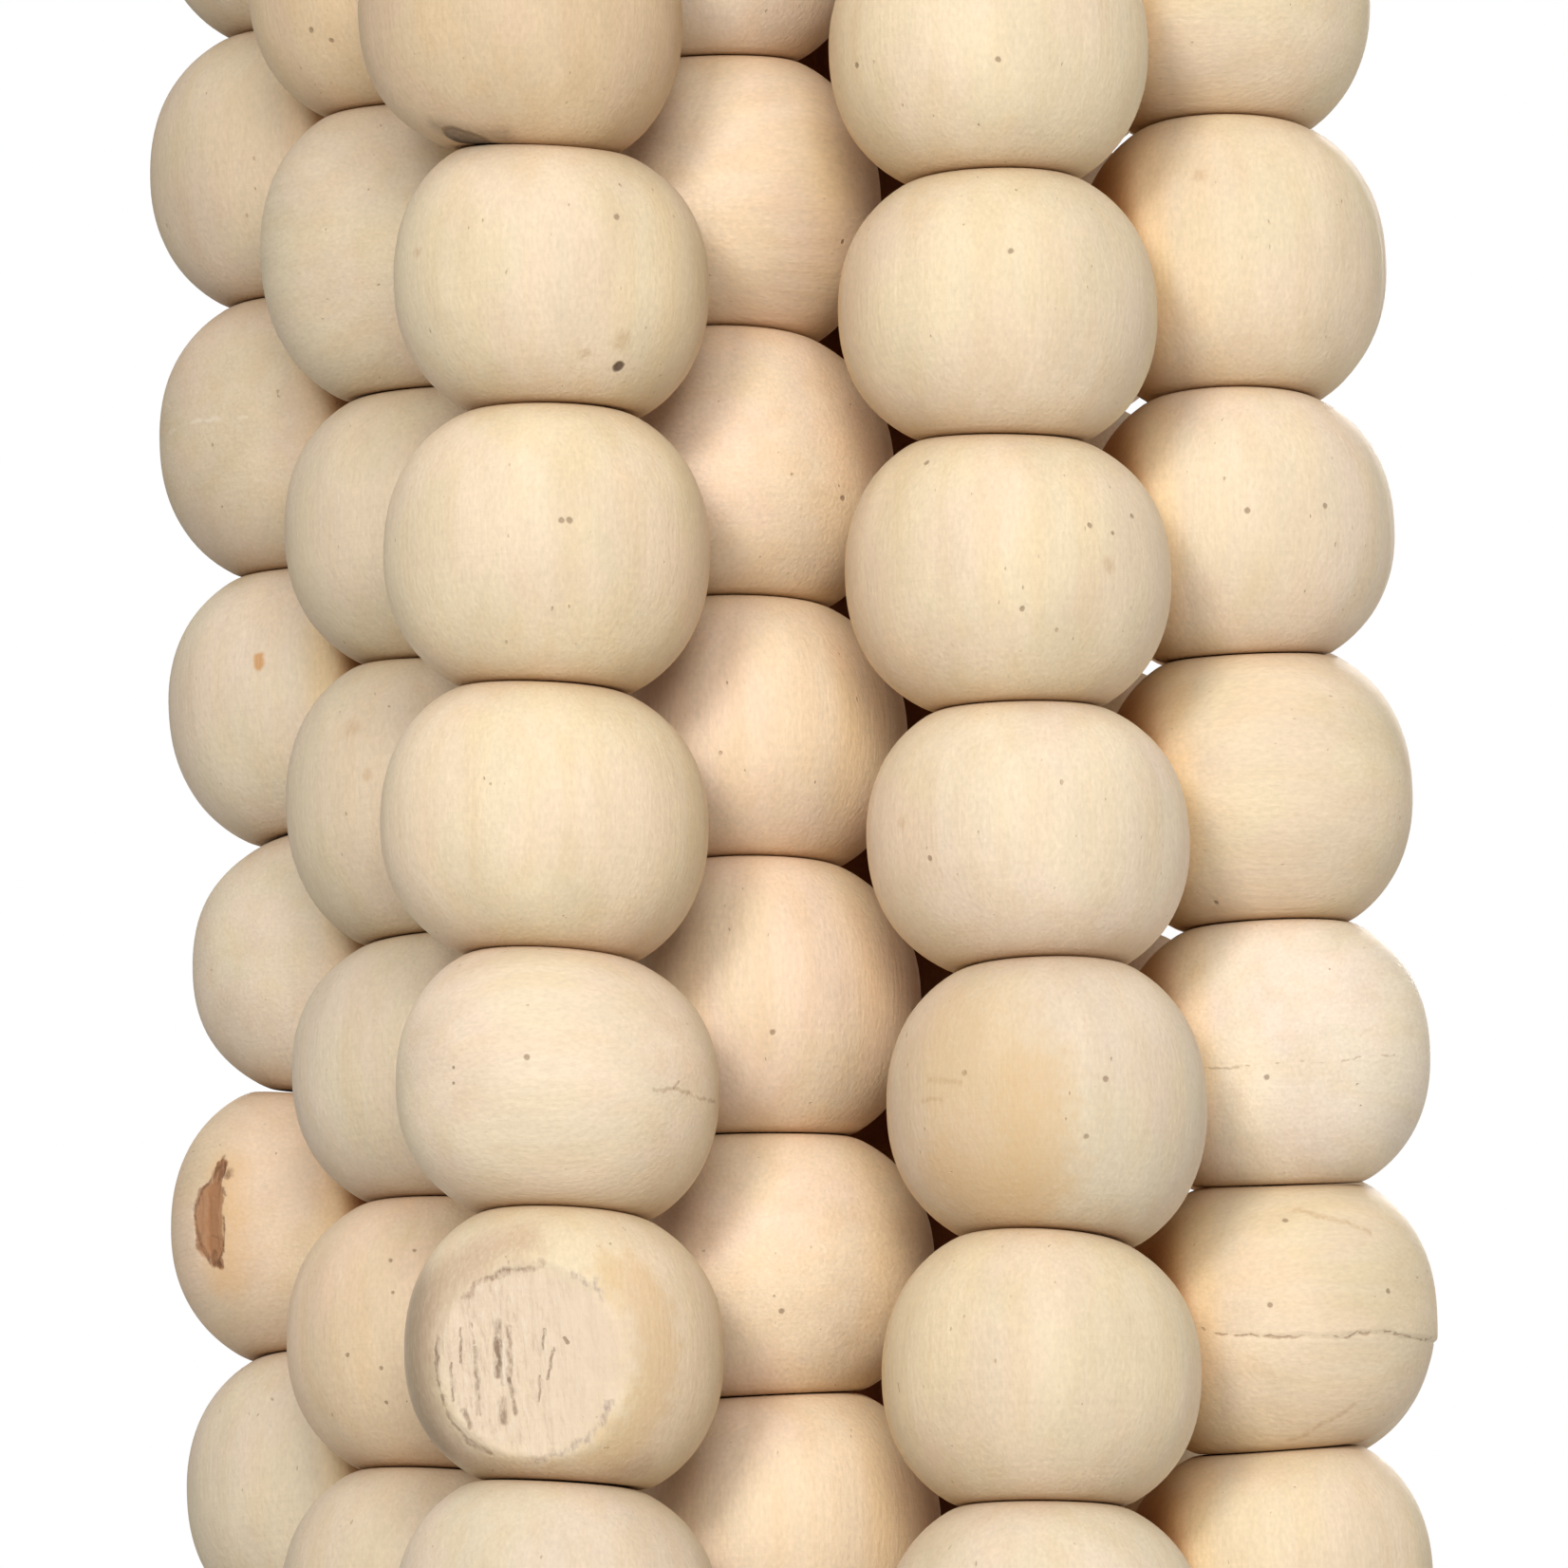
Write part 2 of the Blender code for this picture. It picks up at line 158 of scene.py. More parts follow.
CRACK_LINE = ((-4.9, -0.5), (-3.4, -0.85), (-1.4, -0.95), (0.4, -1.0), (1.6, -0.9), (3.6, -1.05),
              (4.8, -0.75), (6.6, -0.7), (7.5, -1.0), (8.9, -1.25), (9.5, -1.2))
MARKS = (
    Mark(1, 5, "pale", 0.13, ((-9.5, 0.6), (-7.3, 1.1), (-4.4, 1.2))),
    Mark(1, 6, "resin", 0.36, ((-4.2, 3.0), (-4.2, 2.5))),
    Mark(1, 8, "halo", 1.5, ((-6.6, 3.4), (-6.3, 0.5), (-6.7, -2.8))),
    Mark(1, 8, "knot", 1.15, ((-7.6, 1.9), (-7.75, 0.6), (-7.6, -0.7))),
    Mark(1, 8, "knot", 0.8, ((-7.2, 2.1), (-7.2, -0.9))),
    Mark(1, 8, "knot", 0.5, ((-6.8, 4.1), (-7.2, 2.4))),
    Mark(1, 8, "knot", 0.5, ((-7.3, -0.8), (-7.0, -2.1))),
    Mark(1, 8, "vein", 0.16, ((-8.0, 1.9), (-8.1, -0.8))),
    Mark(1, 8, "vein", 0.13, ((-7.5, 2.2), (-7.4, -1.4))),
    Mark(1, 8, "rim", 0.2, ((-6.7, 4.6), (-7.3, 3.4), (-8.2, 2.5), (-8.5, 1.5), (-8.5, 0.1),
         (-8.2, -1.1), (-7.6, -1.8), (-7.0, -2.4))),
    Mark(1, 8, "rim", 0.13, ((-7.0, -2.4), (-6.75, -1.0), (-6.65, 0.5), (-6.6, 2.0), (-6.8, 3.0),
         (-6.6, 4.4))),
    Mark(1, 8, "rim", 0.3, ((-6.8, 4.0), (-7.0, 3.2), (-6.3, 3.6))),
    Mark(1, 8, "rim", 0.26, ((-7.3, -1.5), (-7.0, -2.2))),
    *spots(2, 3, "dot", 0.17, (-5.7, -3.2), (-4.4, -3.9)),
    *spots(2, 6, "stain", 0.4, (-4.7, 1.8)),
    *spots(2, 6, "stain", 0.6, (-5.6, 4.7)),
    *spots(2, 8, "dot", 0.14, (-3.3, 5.1)),
    *spots(2, 8, "dot", 0.1, (-3.2, 3.1)),
    *spots(2, 8, "dot", 0.14, (-6.0, -0.8)),
    *spots(2, 8, "dot", 0.13, (-3.9, -1.6)),
    *spots(2, 8, "dot", 0.12, (-3.6, -3.8), (-1.8, 5.7)),
    # Painted shadow where the seam under this bead opens
    Mark(3, 3, "painted_gap_shadow", 1.0, ((-3.8, -7.5), (-2.6, -7.85), (-0.8, -8.05))),
    # Painted shade along the foot of this bead
    Mark(3, 3, "painted_shade", 0.8, ((-5.0, -6.9), (-1.0, -7.6))),
    *spots(3, 4, "pore", 0.36, (4.2, -5.3)),
    *spots(3, 4, "dot", 0.17, (4.1, 3.9)),
    *spots(3, 4, "stain", 0.6, (4.4, -3.7)),
    *spots(3, 4, "stain", 0.35, (2.1, -4.6), (-8.2, 1.8)),
    *spots(3, 5, "dot", 0.17, (1.0, 1.9), (1.5, 1.9)),
    *spots(3, 7, "dot", 0.17, (-1.8, 2.0)),
    Mark(3, 7, "hairline", 0.11, ((6.0, 0.0), (6.6, -0.1), (7.3, 0.1), (8.0, -0.3), (9.0, -0.7),
         (9.8, -1.0))),
    Mark(3, 7, "hairline", 0.08, ((7.2, 0.1), (7.5, 0.4))),
    *spots(3, 7, "dot", 0.1, (-6.3, 1.3), (-6.3, 0.4)),
    Mark(3, 8, "blush", 1.6, ((3.4, 5.0), (5.2, 3.4), (6.0, 0.0), (5.0, -4.0), (3.0, -6.4))),
    Mark(3, 8, "tan", 1.5, ((-7.4, -5.4), (-8.6, -2.0), (-8.6, 1.6), (-7.2, 4.6), (-4.4, 6.4),
         (-2.6, 6.9))),
    Mark(3, 8, "tan", 1.3, ((-7.0, -6.0), (-2.0, -7.5), (4.0, -7.3))),
    # Painted shade down the bead's left side
    Mark(3, 8, "painted_shade", 1.9, ((-9.0, 3.4), (-9.4, 0.5), (-9.3, -1.5), (-8.2, -5.0))),
    *spots(3, 8, "scrape", 5.75, (-1.9, -0.45)),
    # Painted shadow along the stepped rim of the scraped flat: the four edge lines below
    Mark(3, 8, "edge", 0.2, ((-7.7, 0.9), (-7.8, -0.8), (-7.5, -2.6), (-6.8, -4.3), (-5.9, -5.4),
         (-4.6, -6.1))),
    Mark(3, 8, "edge", 0.14, ((-7.8, 0.4), (-7.8, -1.6), (-7.4, -2.9))),
    Mark(3, 8, "edge", 0.22, ((-6.1, 3.4), (-5.0, 4.5), (-3.8, 5.0), (-2.2, 5.1), (-1.3, 5.5))),
    Mark(3, 8, "edge", 0.14, ((-4.6, 4.7), (-3.2, 5.1))),
    Mark(3, 8, "bruise", 0.22, ((0.8, 4.9), (2.0, 4.2), (2.5, 3.5))),
    Mark(3, 8, "bruise", 0.26, ((2.8, -3.1), (2.6, -3.9), (2.0, -4.7), (1.0, -5.5), (0.0, -6.1),
         (-1.6, -6.5))),
    Mark(3, 8, "bruise", 0.2, ((2.8, -3.0), (2.5, -3.8))),
    Mark(3, 8, "saw", 0.2, ((-4.0, 1.9), (-4.05, -1.3))),
    Mark(3, 8, "saw", 0.1, ((-4.1, 0.9), (-3.9, -0.6), (-4.1, -1.4))),
    Mark(3, 8, "saw", 0.15, ((-3.3, 1.6), (-3.3, -1.6))),
    Mark(3, 8, "saw", 0.12, ((-3.3, -1.6), (-2.9, -3.7))),
    Mark(3, 8, "saw", 0.13, ((-5.4, 0.3), (-5.2, -3.7))),
    Mark(3, 8, "saw", 0.07, ((-5.6, 1.8), (-5.5, 0.6))),
    Mark(3, 8, "saw", 0.24, ((-3.7, -2.9), (-3.65, -4.1))),
    Mark(3, 8, "saw", 0.16, ((-6.1, -3.5), (-5.7, -4.5))),
    Mark(3, 8, "saw", 0.07, ((-1.4, -1.4), (-1.5, -2.9))),
    Mark(3, 8, "saw", 0.06, ((-1.1, 1.5), (-1.2, 0.3))),
    Mark(3, 8, "saw", 0.06, ((-0.6, 0.4), (-0.9, -1.6))),
    Mark(3, 8, "saw", 0.07, ((-6.9, -0.6), (-6.8, -2.9))),
    Mark(3, 8, "saw", 0.06, ((-6.3, 1.6), (-6.3, -0.6))),
    Mark(3, 8, "gleam", 0.12, ((-3.65, 0.8), (-3.65, -1.8))),
    Mark(3, 8, "dot", 0.1, ((0.1, 1.0), (0.3, 0.7))),
    *spots(4, 4, "dot", 0.17, (7.5, -2.6)),
    *spots(4, 5, "dot", 0.17, (6.6, -1.6)),
    *spots(4, 7, "dot", 0.17, (0.7, -1.8)),
    *spots(4, 8, "dot", 0.17, (0.5, -2.6)),
    *spots(5, 3, "dot", 0.17, (-8.2, -1.1), (0.5, -0.9)),
    *spots(5, 4, "dot", 0.17, (0.7, 3.5)),
    *spots(5, 5, "dot", 0.17, (5.0, 3.0), (7.6, 3.6)),
    *spots(5, 5, "dot", 0.13, (6.4, 2.5)),
    *spots(5, 5, "dot", 0.17, (9.7, 2.4), (0.8, -2.1), (-5.1, 6.9)),
    *spots(5, 5, "stain", 0.45, (6.1, 0.6)),
    *spots(5, 6, "dot", 0.17, (-6.1, -1.2)),
    *spots(5, 6, "stain", 0.4, (-7.8, 1.1)),
    *spots(5, 7, "dot", 0.17, (3.5, 1.7), (-5.2, 2.1), (2.3, -1.8)),
    Mark(5, 7, "blush", 4.4, ((-5.2, 4.0), (-3.6, -2.4))),
    Mark(5, 7, "blush", 2.6, ((-6.0, -4.6), (-2.2, -6.0))),
    Mark(5, 7, "blush", 2.3, ((-1.0, 1.5), (-0.8, -3.8))),
    Mark(5, 7, "stain", 0.18, ((-7.3, 1.6), (-5.5, 1.5))),
    Mark(5, 7, "stain", 0.16, ((-7.6, 0.4), (-6.6, 0.5))),
    Mark(6, 4, "edge", 0.3, ((-1.7, -7.7), (-0.5, -8.0), (1.0, -7.9))),
    *spots(6, 4, "stain", 0.35, (-2.0, 5.5)),
    *spots(6, 5, "dot", 0.17, (0.4, 1.1), (5.3, 1.4)),
    *spots(6, 6, "dot", 0.17, (-2.6, -6.8)),
    Mark(6, 7, "hairline", 0.07, ((-4.6, -0.6), (-2.9, -0.6), (-1.4, -0.5), (0.1, -0.35), (1.6, -0.2),
         (2.8, -0.3), (4.5, -0.2), (5.6, 0.1), (7.4, 0.1))),
    *spots(6, 7, "dot", 0.17, (-0.6, -1.2)),
    Mark(6, 8, "crack", 0.08, CRACK_LINE),
    Mark(6, 8, "stain", 0.22, ((0.9, 6.9), (3.0, 6.3), (5.6, 5.4))),
    Mark(6, 8, "stain", 0.2, ((0.6, -7.5), (2.8, -6.3), (4.5, -5.2))),
    *spots(6, 8, "dot", 0.17, (0.3, 6.2), (-0.7, 1.0), (6.7, 1.8)),
)

# The flat scraped on a bead, in millimetres: its middle as the front view shows it, and its radius
FLAT_MIDDLE = (-1.9, -0.5)
FLAT_RADIUS = 5.85

# Where a knot has sunk into its bead, as the front view shows it
KNOT_SPOT = (-7.75, 0.6)

# What a kind of mark does to the wood: its colour, how much of it shows, how soft its border is as a
# share of its size, how far its outline wanders in millimetres, how deep it is, and how much the grain
# breaks it up
Kind = namedtuple("Kind", "colour strength border wander depth broken")
MARK_KINDS = {
    "pore": Kind((0.1, 0.055, 0.03), 0.92, 0.6, 0.12, 0.2, 0.0),
    # Painted shadow in a seam that opens between beads
    "painted_gap_shadow": Kind((0.03, 0.014, 0.007), 1.0, 0.5, 0.2, 0.2, 0.0),
    "dot": Kind((0.22, 0.13, 0.07), 0.65, 0.8, 0.14, 0.05, 0.0),
    "crack": Kind((0.36, 0.22, 0.12), 0.6, 1.0, 0.35, 0.05, 0.4),
    "hairline": Kind((0.36, 0.24, 0.13), 0.54, 1.2, 0.3, 0.02, 0.4),
    "saw": Kind((0.26, 0.17, 0.11), 0.78, 1.6, 0.22, 0.06, 0.75),
    "edge": Kind((0.32, 0.21, 0.14), 0.7, 1.5, 0.5, 0.04, 0.7),
    "bruise": Kind((0.36, 0.27, 0.23), 0.66, 1.8, 0.9, 0.02, 0.8),
    "gleam": Kind((0.8, 0.7, 0.57), 0.4, 1.2, 0.1, -0.04, 0.5),
    "rim": Kind((0.17, 0.07, 0.03), 0.8, 1.4, 0.6, 0.04, 0.5),
    "vein": Kind((0.22, 0.1, 0.05), 0.3, 1.6, 0.2, 0.0, 0.5),
    "halo": Kind((0.72, 0.44, 0.2), 0.6, 1.8, 0.6, 0.0, 0.3),
    "blush": Kind((0.62, 0.41, 0.2), 0.52, 1.3, 1.4, 0.0, 0.25),
    "tan": Kind((0.5, 0.345, 0.225), 0.72, 1.5, 0.9, 0.0, 0.4),
    # Painted shade where a bead lies in shade
    "painted_shade": Kind((0.34, 0.24, 0.15), 0.8, 1.8, 0.5, 0.0, 0.2),
    "stain": Kind((0.48, 0.31, 0.16), 0.5, 1.4, 0.4, 0.0, 0.5),
    "resin": Kind((0.5, 0.24, 0.07), 0.85, 1.0, 0.3, 0.0, 0.2),
    "knot": Kind((0.38, 0.18, 0.08), 0.94, 0.35, 0.4, 0.04, 0.1),
    "pale": Kind((0.82, 0.73, 0.6), 0.35, 1.2, 0.3, 0.0, 0.5),
    "scrape": Kind((0.718, 0.56, 0.418), 0.75, 0.26, 0.7, 0.0, 0.1),
}


def strand_name(strand):
    """A strand's name, as its nodes' names start."""
    return f"strand_{strand.number:02d}"


def own_entry(values, first, index):
    """A bead's entry in a row of values that starts at the bead called first, or None."""
    place = index - first
    return values[place] if 0 <= place < len(values) else None


def bead_length(strand, index):
    """Length of one bead along its hole."""
    turn = (index + 3 * strand.number) % len(LENGTH_CHANGES)
    return own_entry(strand.lengths, LENGTHS_FROM, index) or BEAD_LENGTH + LENGTH_CHANGES[turn]


def seam_heights(strand):
    """Heights of the bead ends, from the top of the first bead to the foot of the last."""
    lengths = [bead_length(strand, index) for index in range(BEADS)]
    heights = [TABLE_HEIGHT + strand.seam + sum(lengths[:LENGTHS_FROM])]
    for length in lengths:
        heights.append(heights[-1] - length)
    return heights


def bead_centres(strand):
    """Centre of each bead, top first."""
    heights = seam_heights(strand)
    middles = [(above + below) / 2 for above, below in zip(heights, heights[1:])]
    sways = strand.sways
    centres = []
    for index, z in enumerate(middles):
        row = min(max(index - SWAYS_FROM, 0), len(sways) - 1)
        down = TABLE_HEIGHT - middles[SWAYS_FROM + row]
        x = strand.x + strand.lean * down + sways[row]
        centres.append(Vector((x, strand.y, z)))
    return centres


def bead_seams(strand):
    """Middles of the bead ends: the strand's top, where its beads meet, and its foot."""
    centres = bead_centres(strand)
    heights = seam_heights(strand)
    seams = []
    for index in range(1, BEADS):
        middle = (centres[index - 1] + centres[index]) / 2
        seams.append(Vector((middle.x, middle.y, heights[index])))
    inward = -Vector((strand.x, strand.y, 0.0)).normalized()
    top = 2 * centres[0] - seams[0] + TOP_LEAN * inward
    foot = 2 * centres[-1] - seams[-1]
    return [top] + seams + [foot]


def cord_root(strand):
    """Where a strand's cord leaves the underside of the head."""
    out = Vector((strand.x, strand.y, 0.0))
    reach = INNER_ROOT if out.length < INNER_STRAND_LIMIT else OUTER_ROOT
    return reach * out.normalized() + Vector((0, 0, HEAD_BOTTOM - CLEARANCE))


def tangents(points):
    """Direction of a line at each of its points."""
    last = len(points) - 1
    return [points[min(i + 1, last)] - points[max(i - 1, 0)] for i in range(last + 1)]


def bezier(handles, share):
    """Point on a cubic curve."""
    a, b, c, d = handles
    rest = 1 - share
    return rest**3 * a + 3 * rest**2 * share * b + 3 * rest * share**2 * c + share**3 * d


def new_object(name, data):
    """A mesh, light or camera put into the scene."""
    made = bpy.data.objects.new(name, data)
    bpy.context.scene.collection.objects.link(made)
    return made


def mesh_object(name, parts, materials):
    """A smooth-shaded object from parts in millimetres, their values kept as attributes."""
    kinds = {1: ("FLOAT", "value"), 3: ("FLOAT_VECTOR", "vector"), 4: ("FLOAT_COLOR", "color")}
    points = np.concatenate([part["points"] for part in parts]) * MM
    faces = []
    slots = []
    offset = 0
    for part in parts:
        faces.extend([corner + offset for corner in face] for face in part["faces"])
        slots.extend([part.get("slot", 0)] * len(part["faces"]))
        offset += len(part["points"])
    data = bpy.data.meshes.new(name)
    data.from_pydata(points.tolist(), [], faces)
    data.polygons.foreach_set("material_index", slots)
    for title in parts[0]["values"]:
        array = np.concatenate([part["values"][title] for part in parts]).astype(np.float32)
        kind, field = kinds[array.size // len(array)]
        data.attributes.new(title, kind, "POINT").data.foreach_set(field, array.ravel())
    for material in materials:
        data.materials.append(material)
    data.shade_smooth()
    return new_object(name, data)


def unit(vectors):
    """Vectors of an array at length one."""
    return vectors / np.linalg.norm(vectors, axis=-1, keepdims=True)


# Shape of the beads in millimetres: the flat end without its rounding, how far the rounding
# reaches down the side and over the end and its steps, the hole's chamfer and the gap at a seam
FACE_RADIUS = 5.2
EDGE_HEIGHT = 0.35
EDGE_WIDTH = 0.35
EDGE_STEPS = 4
HOLE_CHAMFER = 0.35
SEAM_GAP = 0.1

# Darkening towards a bead's ends, partly wear of the end wood and partly painted shade at the seams
# where beads meet. At the end it is 1 and falls by END_WEAR_AND_SHADE_DROP over the rounding. On the
# side it is SIDE_WEAR_AND_SHADE at most and starts at a share of the half length, WEAR_AND_SHADE_FROM,
# over the WEAR_AND_SHADE_OVER that is left of it.
END_WEAR_AND_SHADE_DROP = 0.8
SIDE_WEAR_AND_SHADE = 0.3
WEAR_AND_SHADE_FROM = 0.80
WEAR_AND_SHADE_OVER = 0.20

# How far off another bead still adds to the painted crevice shade, in millimetres, and the most that a
# point is crowded
SHELTER_REACH = 48.0
MOST_CROWDED = 2.5

# How bulgy a bead's side is: 2 is part of an ellipse, more is boxier
ROUNDNESS = 2.25

# How much of a tipped seam's tilt reaches the middle of a bead
MIDDLE_TILT = 0.25

# How uneven beads are, as shares of the radius: out of round, three-sided, and wider at one end
OVAL = (0.002, 0.006)
THREE_SIDED = (0.0, 0.003)
TAPER = (-0.006, 0.006)

# Beads whose grain runs across the hole, the share of the rest that do so too, and the range in
# which beads are shifted through their wood, in millimetres
CROSS_GRAIN = ((1, 5), (3, 7), (6, 7), (6, 8))
CROSS_GRAIN_CHANCE = 0.2
GRAIN_SHIFTS = (-400, 400)

# The strands that show from the front, and their first and last beads in view
FRONT_STRANDS = (1, 2, 3, 4, 5, 6, 7, 8)
FRONT_BEADS = (3, 9)

# Facets (around, down the side) of beads seen from the front, of the rest, and of SHAPED ones
FINE_BEAD = (64, 36)
PLAIN_BEAD = (44, 26)
MARKED_BEAD = (204, 132)


def bead_outline(half, radius, steps):
    """Heights, radii and wear with painted seam shade of a bead's rings, down its outside and ending in its
    hole.
    """
    reach = half / (1 - (FACE_RADIUS / radius) ** ROUNDNESS) ** (1 / ROUNDNESS)
    limit = math.asin((half - EDGE_HEIGHT) / reach)
    heights = reach * np.sin(np.linspace(limit, -limit, steps))
    sides = radius * (1 - np.abs(heights / reach) ** ROUNDNESS) ** (1 / ROUNDNESS)
    flat = np.array((half, FACE_RADIUS - EDGE_WIDTH))
    corner = np.array((half, FACE_RADIUS))
    side = np.array((heights[0], sides[0]))
    shares = np.linspace(0, 1, EDGE_STEPS + 2)[:-1]
    share = shares[:, None]
    edge = (1 - share) ** 2 * flat + 2 * (1 - share) * share * corner + share**2 * side
    hole = HOLE_DIAMETER / 2
    top = np.concatenate([[(half - HOLE_CHAMFER, hole), (half, hole + HOLE_CHAMFER)], edge])
    foot = top[::-1] * np.array([-1, 1])
    rings = np.concatenate([top, np.stack([heights, sides], 1), foot])
    end_wear_and_shade = np.concatenate([[1.0, 1.0], 1 - END_WEAR_AND_SHADE_DROP * shares])
    near_end = np.clip((np.abs(heights) - WEAR_AND_SHADE_FROM * half) / (WEAR_AND_SHADE_OVER * half), 0, 1)
    fade = near_end**2 * SIDE_WEAR_AND_SHADE
    wear_and_seam_shade = np.concatenate([end_wear_and_shade, fade, end_wear_and_shade[::-1]])
    return rings[:, 0], rings[:, 1], wear_and_seam_shade


def ring_quads(rings):
    """Quads between rings of corners, each ring to the next."""
    beside = np.roll(rings, -1, axis=1)
    return np.stack([rings[:-1], rings[1:], beside[1:], beside[:-1]], axis=-1).reshape(-1, 4)


def bead_faces(count, sides):
    """Quads round a bead: each ring to the next, and the last one to the first through the hole."""
    rings = np.arange(count * sides).reshape(count, sides)
    return ring_quads(np.vstack([rings, rings[:1]])).tolist()


def tube_faces(count, sides):
    """Quads between the rings of a tube, turned outwards, and its two ends."""
    rings = np.arange(count * sides).reshape(count, sides)
    quads = ring_quads(rings)[:, [0, 3, 2, 1]]
    return quads.tolist() + [rings[0, ::-1].tolist(), rings[-1].tolist()]


def seam_faces(strand):
    """Which way each bead end of a strand looks, as unit vectors."""
    draw = random.Random(17 * strand.number)
    tips = TIPS.get(strand.number, {"nods": (), "rolls": ()})
    looks = []
    for index, along in enumerate(tangents(bead_seams(strand))):
        lean = -along / along.z
        nod = draw.gauss(0, NOD_SPREAD)
        roll = draw.gauss(0, ROLL_SPREAD)
        row = index - TIPS_FROM
        if 0 <= row < len(tips["nods"]):
            nod = tips["nods"][row]
            roll = tips["rolls"][row]
            lean = Vector((0, 0, -1))
        across = math.tan(math.radians(roll)) - lean.x
        looks.append(Vector((across, math.tan(math.radians(nod)) - lean.y, 1.0)).normalized())
    return looks


def bead_diameter(strand, index, draw):
    """A bead's diameter in the table, or a drawn one."""
    own = own_entry(DIAMETERS.get(strand.number, ()), DIAMETERS_FROM, index)
    return own or BEAD_DIAMETER + draw.uniform(*DIAMETER_CHANGES)


def bead_shade(strand, index, draw):
    """Linear colour of one bead's wood, which for some front beads also holds painted light and shade."""
    drawn = draw.choice(ORDINARY_SHADES)
    letter = own_entry(TONES_WITH_PAINTED_LIGHT.get(strand.number, ""), TONES_FROM, index) or drawn
    light = draw.uniform(*LIGHTNESS)
    return [light * part for part in SHADES[letter]] + [1.0]


def beads_beside(strand):
    """Centres of the beads on every other strand."""
    return [centre for other in STRANDS if other is not strand for centre in bead_centres(other)]


def painted_crevice_shade(points, looks, beside):
    """How closely beads of other strands crowd each point, for painted crevice shade: 0 is open, 1 a
    crevice, 1.5 deep inside.
    """
    covered = np.zeros(len(points))
    for centre in beside:
        reach = np.array(centre) - points
        away = np.linalg.norm(reach, axis=1)
        if away.min() > SHELTER_REACH:
            continue
        facing = np.maximum((reach * looks).sum(axis=1) / away, 0)
        covered += facing * (BEAD_DIAMETER / 2 / np.maximum(away, BEAD_DIAMETER / 2)) ** 2
    return np.clip(covered, 0, MOST_CROWDED)


def unevenness(draw, turn, heights, half):
    """How far a bead's rings are from round, as shares of the radius."""
    oval = draw.uniform(*OVAL) * np.cos(2 * (turn - draw.uniform(0, math.pi)))
    corners = draw.uniform(*THREE_SIDED) * np.cos(3 * (turn - draw.uniform(0, math.pi)))
    return oval + corners + draw.uniform(*TAPER) * heights[:, None] / half


def tipped(local, half, axis, looks):
    """A bead's points along its axis, its rings tipped towards the way that its ends look."""
    top_look, foot_look = (np.array(look) for look in looks)
    rise = np.clip(local[..., 2:] / half, -1, 1)
    look = foot_look + (top_look - foot_look) * (rise + 1) / 2
    pull = MIDDLE_TILT + (1 - MIDDLE_TILT) * rise**2
    normal = unit(axis * (1 - pull) + look * pull)
    east = np.array((1.0, 0.0, 0.0))
    first = unit(east - normal * (normal @ east)[..., None])
    second = np.cross(normal, first)
    return local[..., :1] * first + local[..., 1:2] * second + local[..., 2:] * axis


def place_in_wood(strand, index, draw, place):
    """Where a bead's points lie in the wood that it was turned from."""
    spin = Matrix.Rotation(draw.uniform(0, 2 * math.pi), 3, "Z")
    if (strand.number, index) in CROSS_GRAIN or draw.random() < CROSS_GRAIN_CHANCE:
        spin = Matrix.Rotation(math.pi / 2, 3, "Y") @ spin
    offset = np.array([draw.uniform(*GRAIN_SHIFTS) for _ in range(3)])
    return place @ np.array(spin).T + offset


def make_bead(strand, index, ends, facets, slot):
    """One bead between two seams, each a middle and the way it looks."""
    (top, top_look), (foot, foot_look) = ends
    around, down = facets
    draw = random.Random(100 * strand.number + index)
    radius = bead_diameter(strand, index, draw) / 2
    half = ((top - foot).length - SEAM_GAP) / 2
    heights, radii, wear_and_seam_shade = bead_outline(half, radius, down)
    turn = np.linspace(0, 2 * math.pi, around, endpoint=False)
    share = np.clip((radii - HOLE_DIAMETER) / (radius - HOLE_DIAMETER), 0, 1)[:, None]
    reach = radii[:, None] * (1 + share * unevenness(draw, turn, heights, half))
    flat = (reach * np.cos(turn), reach * np.sin(turn), heights[:, None] + 0 * turn)
    axis = np.array((top - foot).normalized())
    place = tipped(np.stack(flat, axis=-1), half, axis, (top_look, foot_look))
    place = reshaped(strand, index, place).reshape(-1, 3)
    slide = bead_centres(strand)[index].x - (top.x + foot.x) / 2
    points = place + (np.array((top + foot) / 2) + np.array((slide, 0, 0)))
    return {
        "points": points,
        "faces": bead_faces(len(heights), around),
        "slot": slot,
        "values": {
            "place": place,
            "grain": place_in_wood(strand, index, draw, place),
            "tone": np.tile(bead_shade(strand, index, draw), (len(place), 1)),
            # How dark each ring is towards the ends: worn wood and painted seam shade
            "wear_and_seam_shade": np.repeat(wear_and_seam_shade, around),
            # How crowded each point is, which the wood's colour turns into painted crevice shade
            "painted_crevice_shade": painted_crevice_shade(points, unit(place), beads_beside(strand)),
        },
    }


def on_its_bead(mark, place):
    """A mark with its points on its bead's near side, from the bead's middle."""
    return mark._replace(points=[on_bead(place, point) for point in mark.points])


